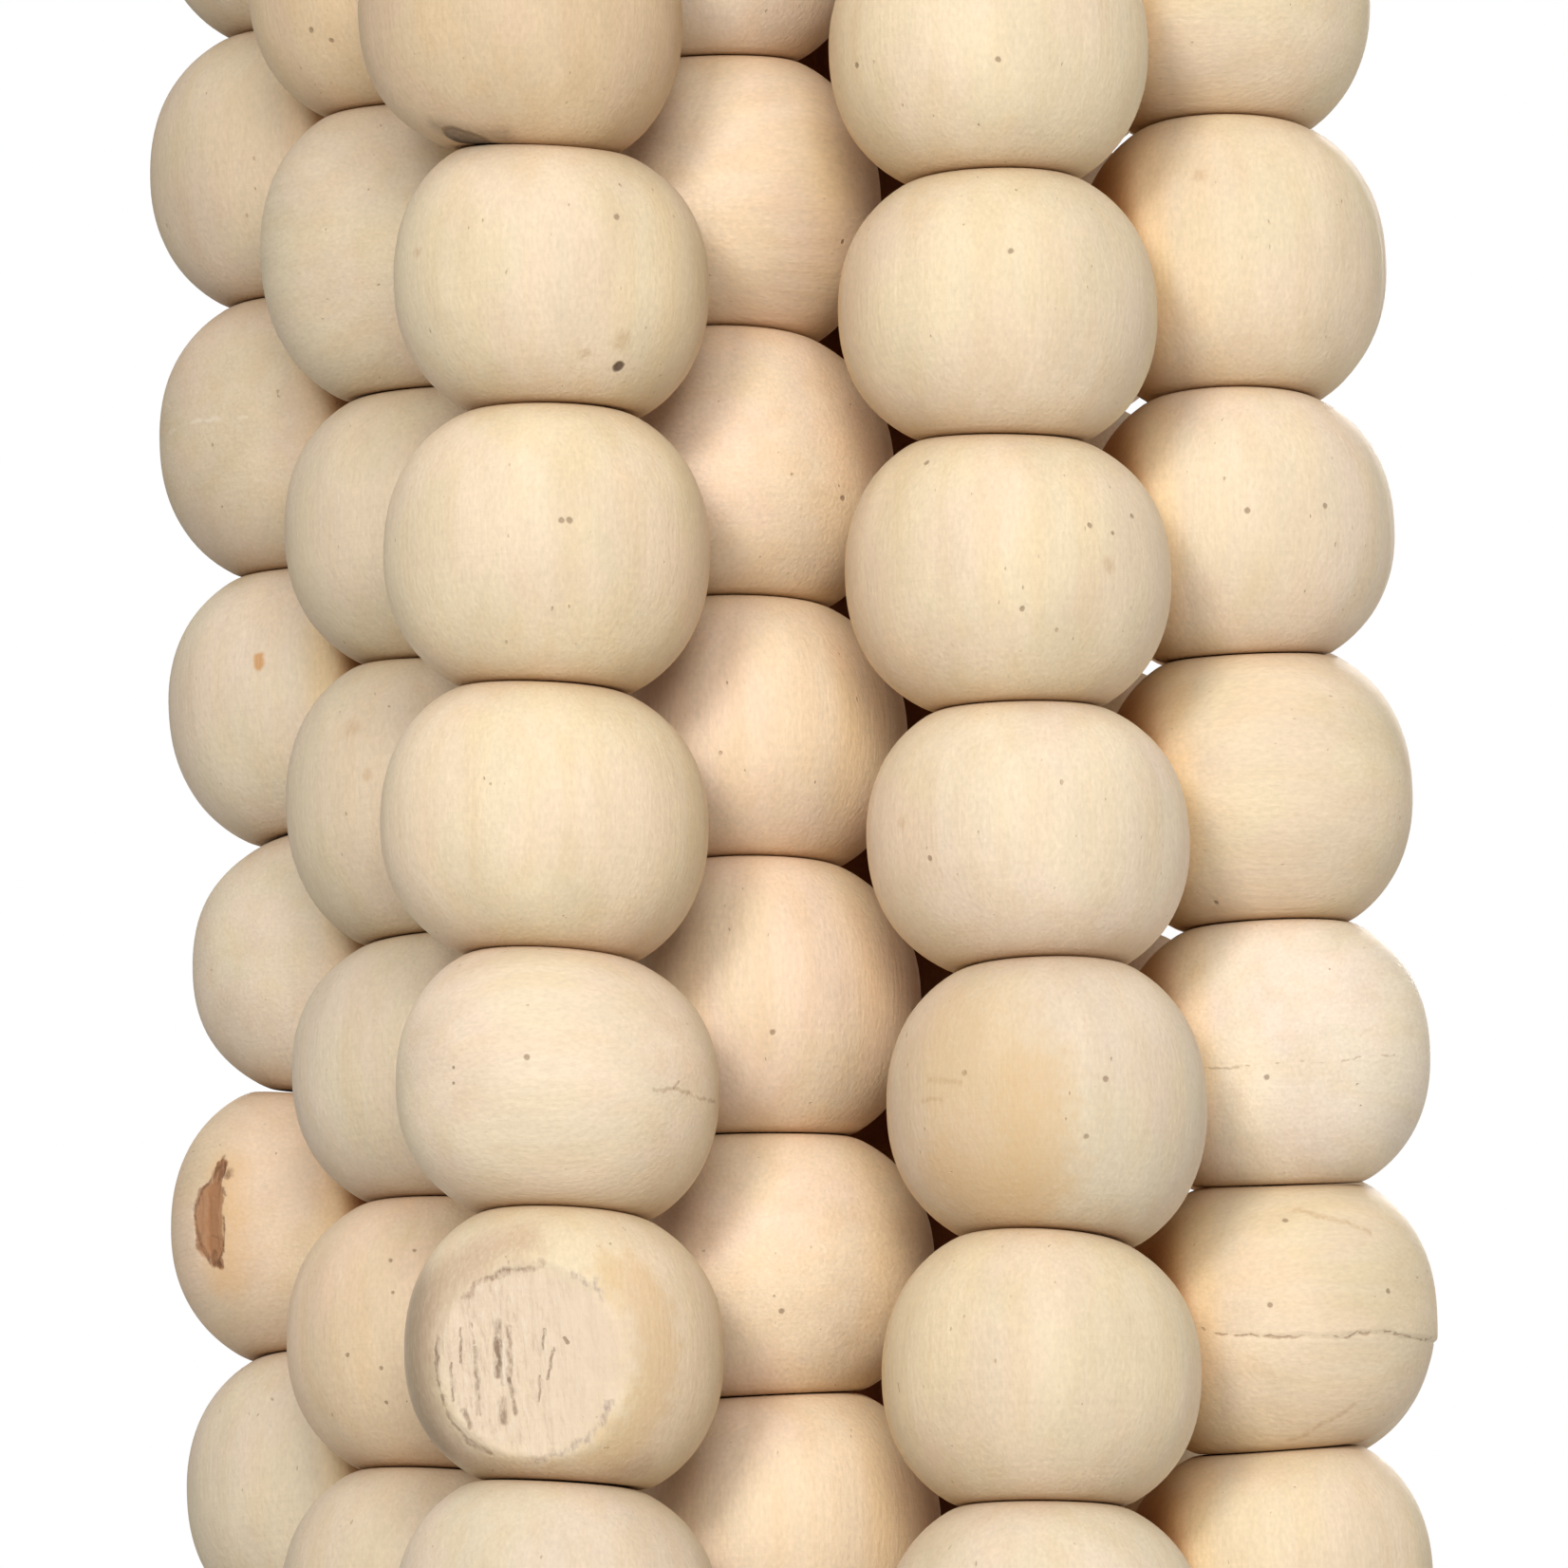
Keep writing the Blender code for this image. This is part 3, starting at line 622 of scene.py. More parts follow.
def make_beads(strand, plain):
    """A strand's beads, each a body of its own, as one object."""
    number = strand.number
    ends = list(zip(bead_seams(strand), seam_faces(strand)))
    used = [plain]
    parts = []
    for index in range(BEADS):
        facets = PLAIN_BEAD
        if number in FRONT_STRANDS and FRONT_BEADS[0] <= index <= FRONT_BEADS[1]:
            facets = FINE_BEAD
        if (number, index) in SHAPED:
            facets = MARKED_BEAD
        marks = [mark for mark in MARKS if (mark.strand, mark.bead) == (number, index)]
        slot = len(used) if marks else 0
        part = make_bead(strand, index, (ends[index], ends[index + 1]), facets, slot)
        parts.append(part)
        if marks:
            lines = [on_its_bead(mark, part["values"]["place"]) for mark in marks]
            used.append(wood_material(f"bead_wood_{number}_{index}", lines))
    return mesh_object(strand_name(strand) + "_bead_set", parts, used)


# Shape of a three-ply cord, as shares of its radius: a ply's radius, the bottom of a groove and
# the size of its cut ends
PLY_ANGLE = 2 * math.pi / 3
PLY_SHARE = 0.464
GROOVE = 0.66
END_SHARE = 0.72

# The points that a smooth curve has between two given ones
CURVE_STEPS = 12

# The longest step in millimetres along which a cord still twists in full, and how far apart in
# their fibres two cords lie
LONGEST_TURN = 0.8
CORDS_APART = 37.0


def carried_frames(line):
    """Side and back at each point of a line, carried along it without a twist."""
    along = unit(np.gradient(line, axis=0))
    starts_along_x = abs(along[0][0]) > 0.9
    side = np.array((0.0, 1.0, 0.0)) if starts_along_x else np.array((1.0, 0.0, 0.0))
    sides = []
    for direction in along:
        side = side - direction * (side @ direction)
        side = side / np.linalg.norm(side)
        sides.append(side)
    sides = np.array(sides)
    return sides, np.cross(along, sides)


def travelled(line):
    """Length of a line up to each of its points."""
    steps = np.linalg.norm(np.diff(line, axis=0), axis=1)
    return np.concatenate([[0.0], np.cumsum(steps)])


def evened(line, count):
    """A number of points at equal distances along a line."""
    gone = travelled(line)
    even = np.linspace(0, gone[-1], count)
    return np.stack([np.interp(even, gone, line[:, axis]) for axis in range(3)], axis=1)


def even_line(points, spacing):
    """Points about a spacing apart on a smooth curve through the given ones."""
    points = np.array(points, float)
    padded = np.concatenate([2 * points[:1] - points[1:2], points, 2 * points[-1:] - points[-2:-1]])
    shares = np.linspace(0, 1, CURVE_STEPS, endpoint=False)[:, None]
    smooth = []
    for a, b, c, d in zip(padded, padded[1:], padded[2:], padded[3:]):
        smooth.append(0.5 * (2 * b + (c - a) * shares + (2 * a - 5 * b + 4 * c - d) * shares**2
                             + (3 * b - a - 3 * c + d) * shares**3))
    smooth = np.concatenate(smooth + [points[-1:]])
    return evened(smooth, max(2, round(travelled(smooth)[-1] / spacing) + 1))


def tube(line, angle, reach, lay, crown):
    """A tube round a line: where its corners stand, how far out, and their lay and crown values."""
    side, back = carried_frames(line)
    out = np.cos(angle)[..., None] * side[:, None, :] + np.sin(angle)[..., None] * back[:, None, :]
    points = line[:, None, :] + out * reach[..., None]
    rings, sides = points.shape[:2]
    lay = np.stack(np.broadcast_arrays(*lay), axis=-1)
    return {
        "points": points.reshape(-1, 3),
        "faces": tube_faces(rings, sides),
        "values": {"lay": lay.reshape(-1, 3), "crown": np.broadcast_to(crown, (rings, sides)).ravel()},
    }


def twisted_cord(line, radius, pitch, sides, seed):
    """A three-ply cord along a line. Where its points lie far apart, hidden, it turns less."""
    gone = travelled(line)
    steps = np.minimum(np.diff(gone), LONGEST_TURN)
    spin = 2 * math.pi * np.concatenate([[0.0], np.cumsum(steps)]) / pitch
    corner = np.linspace(0, 2 * math.pi, sides, endpoint=False)
    beside = (corner + PLY_ANGLE / 2) % PLY_ANGLE - PLY_ANGLE / 2
    ply = PLY_SHARE * radius
    reach = radius - ply
    outline = reach * np.cos(beside) + np.sqrt(np.maximum(0, ply**2 - (reach * np.sin(beside)) ** 2))
    outline = np.maximum(outline, GROOVE * radius)
    crown = (outline - outline.min()) / (radius - outline.min())
    size = np.ones(len(line))
    size[[0, -1]] = END_SHARE
    lay = (corner[None, :] * radius, gone[:, None], seed * CORDS_APART)
    return tube(line, corner[None, :] + spin[:, None], outline[None, :] * size[:, None], lay, crown)


def fibre(start, direction, length, radius, droop, seed):
    """One loose fibre: a thin tapering tube that bends as it goes."""
    shares = np.linspace(0, 1, 6)[:, None]
    line = start + direction * length * shares + droop * shares**2
    corner = np.linspace(0, 2 * math.pi, 4, endpoint=False)[None, :]
    return tube(line, corner, radius * (1 - 0.7 * shares), (corner * radius, length * shares, seed), 1.0)


# The fibres of a cut end, in millimetres: how many, how far they spread and droop, how far beside
# and inside the end they start, and how long and thick they are
TAIL_FIBRES = {"count": 16, "spread": 0.28, "droop": 0.4, "beside": 0.5, "inside": 0.8,
               "length": (2.0, 3.4), "radius": 0.09}
STUB_FIBRES = {"count": 7, "spread": 0.35, "droop": 0.3, "beside": 0.5, "inside": 0.6,
               "length": (1.2, 2.0), "radius": 0.08}


def spread_out(draw, spread, up):
    """A vector whose sideways parts are drawn from a normal spread."""
    return np.array((draw.gauss(0, spread), draw.gauss(0, spread), up))


def shifted(draw, reach, up):
    """A vector whose sideways parts are drawn evenly."""
    return np.array((draw.uniform(-reach, reach), draw.uniform(-reach, reach), up))


# The tied knot, in millimetres: how close its cord may come to itself, its points and their
# spacing, how much of it is kept either way, and how far below the last bead its middle is
KNOT_CLOSE = 1.85
KNOT_POINTS = 110
KNOT_STEP = 0.42
KNOT_HALF_HEIGHT = 4.4
KNOT_MIDDLE = 3.7

# How the knot is tied: how far its loose curve runs either way and its size on each axis, the
# rounds, the share of them that shorten it and the passes in each. A pass smooths the line, gathers
# its ends and pulls them by a share of a step.
LOOSE_RUN = 1.95
LOOSE_SIZE = (6.0, 5.5, -1.9)
KNOT_ROUNDS = 800
SHORTENING = 0.75
KNOT_PASSES = 4
SMOOTHING = 0.12
GATHERING = 0.8
PULL = 0.15


def even_out(line, step):
    """Moves the points of a line, pair by pair, to a step apart."""
    for first in (0, 1):
        near = line[first:-1:2]
        far = line[first + 1 :: 2]
        count = min(len(near), len(far))
        reach = far[:count] - near[:count]
        length = np.linalg.norm(reach, axis=1, keepdims=True)
        shift = 0.5 * (length - step) / length * reach
        near[:count] += shift
        far[:count] -= shift


def push_apart(line, step):
    """Pushes a line's parts off each other where they come too close."""
    order = np.arange(len(line))
    apart = np.abs(order[:, None] - order[None, :])
    nearest = max(3, math.ceil(1.5 * KNOT_CLOSE / step))
    between = line[:, None] - line[None, :]
    distance = np.linalg.norm(between, axis=2) + 1e-9
    touching = (distance < KNOT_CLOSE) & (apart >= nearest)
    push = np.where(touching, (KNOT_CLOSE - distance) / distance * 0.5, 0.0)
    share = np.maximum(1.0, touching.sum(axis=1, keepdims=True) * 0.5)
    line += (push[:, :, None] * between).sum(axis=1) / share


def tied_knot():
    """An overhand knot's line, started loose and drawn tight until its cord touches itself."""
    turn = np.linspace(-LOOSE_RUN, LOOSE_RUN, KNOT_POINTS)
    loose = np.stack([turn**3 - 3 * turn, turn**4 - 4 * turn**2 + 2, turn**5 - 10 * turn], axis=1)
    loose = loose * LOOSE_SIZE
    line = evened(loose, KNOT_POINTS)
    loose_step = travelled(loose)[-1] / (KNOT_POINTS - 1)
    for number in range(KNOT_ROUNDS):
        drawn = min(1.0, number / (SHORTENING * KNOT_ROUNDS))
        step = loose_step + (KNOT_STEP - loose_step) * drawn
        for _ in range(KNOT_PASSES):
            line[1:-1] += SMOOTHING * ((line[:-2] + line[2:]) / 2 - line[1:-1])
            even_out(line, step)
            push_apart(line, step)
            line[[0, -1], :2] *= GATHERING
            line[0, 2] += PULL * step
            line[-1, 2] -= PULL * step
    line = line[np.abs(line[:, 2]) < KNOT_HALF_HEIGHT]
    line[:, :2] -= (line[:, :2].min(axis=0) + line[:, :2].max(axis=0)) / 2
    return line


# Steps in millimetres along a strand's cord where it shows, in the beads, and along its tail; the
# length of its twist, its corners, and how much of its diameter it fills
BARE_STEP = 0.6
HIDDEN_STEP = 4.0
TAIL_STEP = 0.5
CORD_PITCH = 6.4
CORD_CORNERS = 24
CORD_FULLNESS = 0.95

# A strand's cord above its beads: where it starts inside the head, by how much of its root's reach
# it lies further in and how far up, its curve's handles as shares of its drop, and its parts
CORD_STARTS = ({"inward": 0.42, "up": 5.0}, {"inward": 0.22, "up": 2.2})
ROOT_HANDLE = 0.2
BEAD_HANDLE = 0.3
BARE_PARTS = 10

# A strand's knot and tail: the knot's turn from strand to strand in radians, the room it takes as a
# share of its radius, and how far aside the tail ends and bends in millimetres
KNOT_TURN = 2.4
KNOT_ROOM = 2.1
TAIL_ASIDE = 0.6
TAIL_BEND = (0.4, -0.2, 0)


def bare_cord(strand, top, below):
    """The route of a strand's cord from inside the head down to its first bead."""
    root = cord_root(strand)
    up = (top - below).normalized()
    drop = root.z - top.z
    handles = (root, root - Vector((0, 0, ROOT_HANDLE * drop)), top + BEAD_HANDLE * drop * up, top)
    inward = -Vector((root.x, root.y, 0))
    inside = [root + row["inward"] * inward + Vector((0, 0, row["up"])) for row in CORD_STARTS]
    shown = [bezier(handles, part / BARE_PARTS) for part in range(BARE_PARTS + 1)]
    return even_line(inside + shown, BARE_STEP)


def strand_line(strand, knot):
    """The route of a strand's cord: from inside the head through the beads, its knot and tail."""
    seams = bead_seams(strand)
    bare = bare_cord(strand, seams[0], seams[1])
    threaded = even_line(seams, HIDDEN_STEP)
    angle = KNOT_TURN * strand.number
    spun = np.array(Matrix.Rotation(angle, 3, "Z"))
    foot = np.array(seams[-1])
    tied = knot @ spun.T + foot - np.array((0, 0, KNOT_MIDDLE))
    hang = KNOT_ROOM * KNOT_DIAMETER / 2 + TAIL_LENGTH
    end = foot - np.array((TAIL_ASIDE * math.cos(angle), TAIL_ASIDE * math.sin(angle), hang))
    lead = even_line([foot, tied[0], tied[2]], BARE_STEP)[:-1]
    bend = (tied[-1] + end) / 2 + np.array(TAIL_BEND)
    tail = even_line([tied[-3], tied[-1], bend, end], TAIL_STEP)
    return np.concatenate([bare[:-1], threaded[:-1], lead[:-1], tied[1:-3], tail])


def make_cord(strand, knot, material):
    """A strand's twisted cord with its knot, and the fibres of its cut end."""
    line = strand_line(strand, knot)
    radius = CORD_DIAMETER / 2 * CORD_FULLNESS
    parts = [twisted_cord(line, radius, CORD_PITCH, CORD_CORNERS, strand.number)]
    draw = random.Random(500 + strand.number)
    row = TAIL_FIBRES
    for _ in range(row["count"]):
        aim = unit(spread_out(draw, row["spread"], -1.0))
        start = line[-1] + shifted(draw, row["beside"], row["inside"])
        droop = spread_out(draw, row["droop"], 0.0)
        parts.append(fibre(start, aim, draw.uniform(*row["length"]), row["radius"], droop, draw.random()))
    return mesh_object(strand_name(strand) + "_tied_cord", parts, [material])


# The head's winding, in millimetres and radians: its two ends are tucked in over a few steps
WINDING_RADIUS = HEAD_DIAMETER / 2 - TURN_HEIGHT / 2
WINDING_PITCH = 10.0
WINDING_STEP = 0.8
WINDING_CORNERS = 24
WINDING_FULLNESS = 1.02
WINDING_START = 0.9
STEPS_A_TURN = 24
TUCK_STEPS = 3
TUCK_DEPTH = 2.4

# The bundle under the winding, in millimetres
CORE_RADIUS = 6.0
CORE_TOP = HEAD_TOP - 1.0
CORE_FOOT = HEAD_BOTTOM + 0.9
CORE_PITCH = 90.0
CORE_STEP = 3.0
CORE_CORNERS = 48

# The cut ends that stand out of the head, in millimetres and degrees: how far out and up they end,
# and how each runs, by shares of how far out it is and how far down it lies
STUB_ANGLES = (48, 74, 102, 130, 228, 254, 282, 310)
STUB_RADIUS = 1.1
STUB_REACH = 4.7
REACH_CHANGES = (-0.3, 0.2)
STUB_RISE = 2.4
RISE_CHANGES = (-0.7, 0.5)
STUB_RUN = ({"out": 0.8, "down": 9.0}, {"out": 0.95, "down": 4.0}, {"out": 1.08, "down": 0.0})


def winding_line():
    """The wound cord: a helix down the head whose two ends are tucked in."""
    turns = HEAD_TURNS - 1
    steps = turns * STEPS_A_TURN
    line = []
    for step in range(-TUCK_STEPS, steps + TUCK_STEPS + 1):
        share = min(max(step / steps, 0), 1)
        beyond = max(-step, step - steps, 0) / TUCK_STEPS
        radius = WINDING_RADIUS - TUCK_DEPTH * beyond
        angle = 2 * math.pi * step / STEPS_A_TURN + WINDING_START
        z = HEAD_TOP - TURN_HEIGHT / 2 - share * turns * TURN_HEIGHT
        line.append((radius * math.cos(angle), radius * math.sin(angle), z))
    return even_line(line, WINDING_STEP)


def make_stub(angle, draw):
    """One cut end of cord at the head's top, with its fibres."""
    turn = math.radians(angle)
    reach = STUB_REACH + draw.uniform(*REACH_CHANGES)
    top = HEAD_TOP + STUB_RISE + draw.uniform(*RISE_CHANGES)
    x = reach * math.cos(turn)
    y = reach * math.sin(turn)
    run = [(row["out"] * x, row["out"] * y, top - row["down"]) for row in STUB_RUN]
    parts = [twisted_cord(even_line(run, BARE_STEP), STUB_RADIUS, CORD_PITCH, CORD_CORNERS, 40 + angle)]
    row = STUB_FIBRES
    for _ in range(row["count"]):
        start = np.array(run[-1]) + shifted(draw, row["beside"], -row["inside"])
        aim = unit(spread_out(draw, row["spread"], 1.0))
        droop = spread_out(draw, row["droop"], -0.2)
        parts.append(fibre(start, aim, draw.uniform(*row["length"]), row["radius"], droop, draw.random()))
    return parts


def make_head(material):
    """The binding: the wound cord over the bundle, whose cut ends show at the top."""
    thickness = TURN_HEIGHT / 2 * WINDING_FULLNESS
    parts = [twisted_cord(winding_line(), thickness, WINDING_PITCH, WINDING_CORNERS, 31)]
    core = np.array([(0, 0, CORE_TOP), (0, 0, (HEAD_TOP + HEAD_BOTTOM) / 2), (0, 0, CORE_FOOT)])
    parts.append(twisted_cord(even_line(core, CORE_STEP), CORE_RADIUS, CORE_PITCH, CORE_CORNERS, 32))
    draw = random.Random(77)
    for angle in STUB_ANGLES:
        parts.extend(make_stub(angle, draw))
    return mesh_object("head_winding", parts, [material])


# The loop's twist and steps, the parts of its curve, its corners, and how far its feet are tucked
# in and down, in millimetres
LOOP_PITCH = 12.0
LOOP_STEP = 0.6
LOOP_PARTS = 16
LOOP_CORNERS = 30
LOOP_TUCK = Vector((0.3, 0, 6.0))


def make_loop(material):
    """The twisted hanging loop, its legs run on into the head."""
    radius = LOOP_CORD_DIAMETER / 2
    foot = Vector((LOOP_FOOT_SPACING / 2, 0, HEAD_TOP + CLEARANCE))
    top = Vector((0, 0, radius))
    handles = (foot, foot + Vector((0, 0, LOOP_FOOT_HANDLE)), top + Vector((LOOP_TOP_HANDLE, 0, 0)), top)
    leg = [bezier(handles, part / LOOP_PARTS) for part in range(LOOP_PARTS + 1)]
    right = [foot - LOOP_TUCK] + leg
    left = [Vector((-point.x, point.y, point.z)) for point in reversed(right[:-1])]
    cord = twisted_cord(even_line(right + left, LOOP_STEP), radius, LOOP_PITCH, LOOP_CORNERS, 33)
    return mesh_object("twisted_loop", [cord], [material])


# The camera: its aim and distance in metres, how far it looks up and is rolled, and its lens and
# sensor in millimetres
TARGET = (-0.00125, -0.0025, -0.2268)
DISTANCE = 1.5
LOOK_UP = math.radians(7.0)
ROLL = math.radians(1.76)
LENS = 546.6
SENSOR = 36.0


def camera_axes():
    """The photograph's right, up and back (towards the camera) as directions of the scene."""
    level = Vector((1, 0, 0))
    upright = Vector((0, -math.sin(LOOK_UP), math.cos(LOOK_UP)))
    right = math.cos(ROLL) * level - math.sin(ROLL) * upright
    up = math.sin(ROLL) * level + math.cos(ROLL) * upright
    back = Vector((0, -math.cos(LOOK_UP), -math.sin(LOOK_UP)))
    return right, up, back


def make_camera():
    """The scene's camera, at the photograph's viewing angle."""
    right, up, back = camera_axes()
    data = bpy.data.cameras.new("front_camera")
    data.lens = LENS
    data.sensor_width = SENSOR
    data.clip_start = 0.05
    data.clip_end = 50.0
    camera = new_object("front_camera", data)
    turned = Matrix((right, up, back)).transposed().to_4x4()
    camera.matrix_world = Matrix.Translation(Vector(TARGET) + DISTANCE * back) @ turned
    bpy.context.scene.camera = camera


# How a point of the front view is found on a bead: from how many of the bead's points, how near the
# nearest has to be, and how far from the middle the side is too steep for that, in millimetres
FITTED_POINTS = 9
FITTED_REACH = 0.6
STEEP_REACH = 8.8


def on_bead(place, point):
    """Where a point of the front view lies on a bead's near side, from the bead's middle."""
    right, up, back = (np.array(axis) for axis in camera_axes())
    near = place.reshape(-1, 3)
    near = near[near @ back > 0]
    beside = np.stack([near @ right - point[0], near @ up - point[1]], axis=1)
    away = np.linalg.norm(beside, axis=1)
    nearest = np.argsort(away)[:FITTED_POINTS]
    if math.hypot(*point) > STEEP_REACH or away[nearest[0]] > FITTED_REACH:
        return Vector(near[nearest[0]])
    plane = np.column_stack([np.ones(len(nearest)), beside[nearest]])
    depth = np.linalg.lstsq(plane, near[nearest] @ back, rcond=None)[0][0]
    return Vector(point[0] * right + point[1] * up + depth * back)


# The scraped flat, in millimetres: how softly it runs out into the round of its bead, its slope,
# the ridges where the tool chattered, and the waves of its edge in one turn
EDGE_SOFTNESS = 0.06
FLAT_SLOPE = 0.035
RIDGES = ({"height": 0.05, "across": 4.3, "up": 0.25}, {"height": 0.03, "across": 9.1, "up": -0.2})
RIDGE_SWELL = 1.1
EDGE_WAVES = (
    {"height": 0.06, "waves": 3, "phase": 0.5},
    {"height": 0.05, "waves": 7, "phase": 0.0},
    {"height": 0.04, "waves": 11, "phase": 2.0},
)


def scraped(place, points):
    """A bead's points with one flat planed off, ridged where the tool chattered."""
    middle = np.array(on_bead(place, points[0]))
    plane = math.sqrt(middle @ middle - FLAT_RADIUS**2)
    normal = unit(middle)
    east = unit(np.cross((0.0, 0.0, 1.0), normal))
    across = place @ east
    climb = place[..., 2]
    beside = across - plane * normal @ east
    above = climb - (plane * normal)[2]
    coarse, fine = (row["height"] * np.sin(row["across"] * across + row["up"] * climb) for row in RIDGES)
    ridges = coarse * np.sin(RIDGE_SWELL * across + 1.0) + fine
    around = np.arctan2(above, beside)
    wander = sum(row["height"] * np.sin(row["waves"] * around + row["phase"]) for row in EDGE_WAVES)
    spread = np.clip(np.hypot(above, beside) / FLAT_RADIUS, 0, 1)
    depth = plane + wander * spread**4 + ridges + FLAT_SLOPE * across
    over = EDGE_SOFTNESS * np.logaddexp(0, (place @ normal - depth) / EDGE_SOFTNESS)
    return place - over[..., None] * normal


# The crack, in millimetres: how deep it is and how wide either way, and its upper lip: how proud
# it stands at the left, how much more at the right, and how far up it reaches. The crack fades out
# over CRACK_FADE behind the bead's middle and opens in full at a share of its run, OPENED_BY.
CRACK_DEPTH = 0.10
CRACK_SIDE = 0.2
CRACK_FADE = 2.0
OPENED_BY = 0.25
LIP_HEIGHT = 0.04
LIP_RISE = 0.16
LIP_REACH = 2.2


def split_open(place, points):
    """A bead's points with a crack across its front, whose upper lip stands proud on the right."""
    line = np.array([on_bead(place, point) for point in points])
    height = np.interp(place[..., 0], line[:, 0], line[:, 2])
    run = (place[..., 0] - line[0, 0]) / (line[-1, 0] - line[0, 0])
    front = np.clip(1.0 - place[..., 1] / CRACK_FADE, 0, 1) * np.clip(run / OPENED_BY, 0, 1)
    above = place[..., 2] - height
    outward = place * np.array((1, 1, 0))
    outward = outward / np.maximum(np.linalg.norm(outward, axis=-1, keepdims=True), 1e-6)
    groove = -CRACK_DEPTH * np.clip(1 - np.abs(above) / CRACK_SIDE, 0, 1)
    lip = LIP_HEIGHT + LIP_RISE * np.clip(run, 0, 1) ** 2
    lip = lip * np.exp(-np.maximum(above, 0) / LIP_REACH) * (above > 0)
    return place + outward * (front * (groove + lip))[..., None]


# The dent over a knot: its depth and reach in millimetres, and how much taller than wide it is
DENT_DEPTH = 0.3
DENT_REACH = 1.1
DENT_STRETCH = 2.4


def dented(place, points):
    """A bead's points sunk a little over a knot."""
    reach = place - np.array(on_bead(place, points[0]))
    away = np.sqrt((reach[..., :2] ** 2).sum(axis=-1) + (reach[..., 2] / DENT_STRETCH) ** 2)
    sink = DENT_DEPTH * np.exp(-((away / DENT_REACH) ** 2))
    return place - unit(place) * sink[..., None]


# Beads whose shape itself is marked, by strand and bead: how, and at which points of the front view
SHAPED = {
    (3, 8): {"shape": scraped, "points": (FLAT_MIDDLE,)},
    (6, 8): {"shape": split_open, "points": CRACK_LINE},
    (1, 8): {"shape": dented, "points": (KNOT_SPOT,)},
}


def reshaped(strand, index, place):
    """A bead's points, changed where its shape itself is marked."""
    row = SHAPED.get((strand.number, index))
    return row["shape"](place, row["points"]) if row else place


def add_node(tree, kind, values=None, **settings):
    """A shader node, its inputs set to values or linked to other nodes' outputs."""
    node = tree.nodes.new("ShaderNode" + kind)
    for name, value in settings.items():
        setattr(node, name, value)
    for name, value in (values or {}).items():
        socket = node.inputs[name]
        if isinstance(value, bpy.types.NodeSocket):
            tree.links.new(value, socket)
        else:
            socket.default_value = value
    return node


def attribute(tree, name, output="Vector"):
    """A value that the mesh carries at each of its points."""
    return add_node(tree, "Attribute", attribute_name=name).outputs[output]


def stretched_noise(tree, vector, scale, detail, roughness):
    """Noise over a vector in millimetres, its features as fine as the scale says along each axis."""
    scaled = vectored(tree, "MULTIPLY", vector, scale)
    values = {"Vector": scaled, "Scale": 1.0, "Detail": detail, "Roughness": roughness}
    return add_node(tree, "TexNoise", values).outputs["Fac"]


def remap(tree, value, low, high, to_low=0.0, to_high=1.0, smooth=False):
    """A value carried from one range to another and held within it."""
    kind = "SMOOTHSTEP" if smooth else "LINEAR"
    values = {"Value": value, "From Min": low, "From Max": high, "To Min": to_low, "To Max": to_high}
    return add_node(tree, "MapRange", values, interpolation_type=kind).outputs["Result"]


def mathed(tree, operation, first, second):
    """What a maths operation makes of two numbers."""
    return add_node(tree, "Math", {0: first, 1: second}, operation=operation).outputs[0]


def times(tree, first, second):
    return mathed(tree, "MULTIPLY", first, second)


def vectored(tree, operation, first, second, output="Vector"):
    """What vector maths makes of two values; the second is a number where it scales."""
    values = {0: first, "Scale" if operation == "SCALE" else 1: second}
    return add_node(tree, "VectorMath", values, operation=operation).outputs[output]


def mixed(tree, share, first, second, blend="MIX"):
    """A colour mixed from two by a share. The node's inputs go by number, as names repeat in it."""
    values = {0: share, 6: first, 7: second}
    return add_node(tree, "Mix", values, data_type="RGBA", blend_type=blend).outputs[2]


def new_material(name):
    """A new material, its node tree and the shader that is its surface."""
    material = bpy.data.materials.new(name)
    material.use_nodes = True
    tree = material.node_tree
    tree.nodes.clear()
    surface = tree.nodes.new("ShaderNodeBsdfPrincipled")
    output = tree.nodes.new("ShaderNodeOutputMaterial")
    tree.links.new(surface.outputs["BSDF"], output.inputs["Surface"])
    return material, tree, surface


# A noise of a surface: the attribute it follows, its features a millimetre along each axis, its
# detail and its roughness
Noise = namedtuple("Noise", "follows scale detail roughness")
WOOD_NOISES = {
    "mottle": Noise("grain", (0.22, 0.22, 0.09), 4.0, 0.55),
    "rings": Noise("grain", (0.55, 0.55, 0.035), 2.0, 0.5),
    "fibres": Noise("grain", (3.2, 3.2, 0.22), 3.0, 0.5),
    "turning": Noise("place", (0.1, 0.1, 3.5), 2.0, 0.5),
    "speckle": Noise("grain", (4.0, 4.0, 2.5), 2.0, 0.5),
    "flecks": Noise("grain", (4.6, 4.6, 2.0), 2.0, 0.5),
    "blush": Noise("grain", (0.13, 0.13, 0.1), 2.0, 0.5),
    "pores": Noise("grain", (2.6, 2.6, 1.1), 1.0, 0.5),
}
CORD_NOISES = {
    "fibres": Noise("lay", (5.0, 5.0, 0.7), 4.0, 0.6),
    "patches": Noise("lay", (0.5, 0.5, 0.12), 2.0, 0.5),
    "fuzz": Noise("lay", (14.0, 14.0, 2.5), 2.0, 0.5),
}

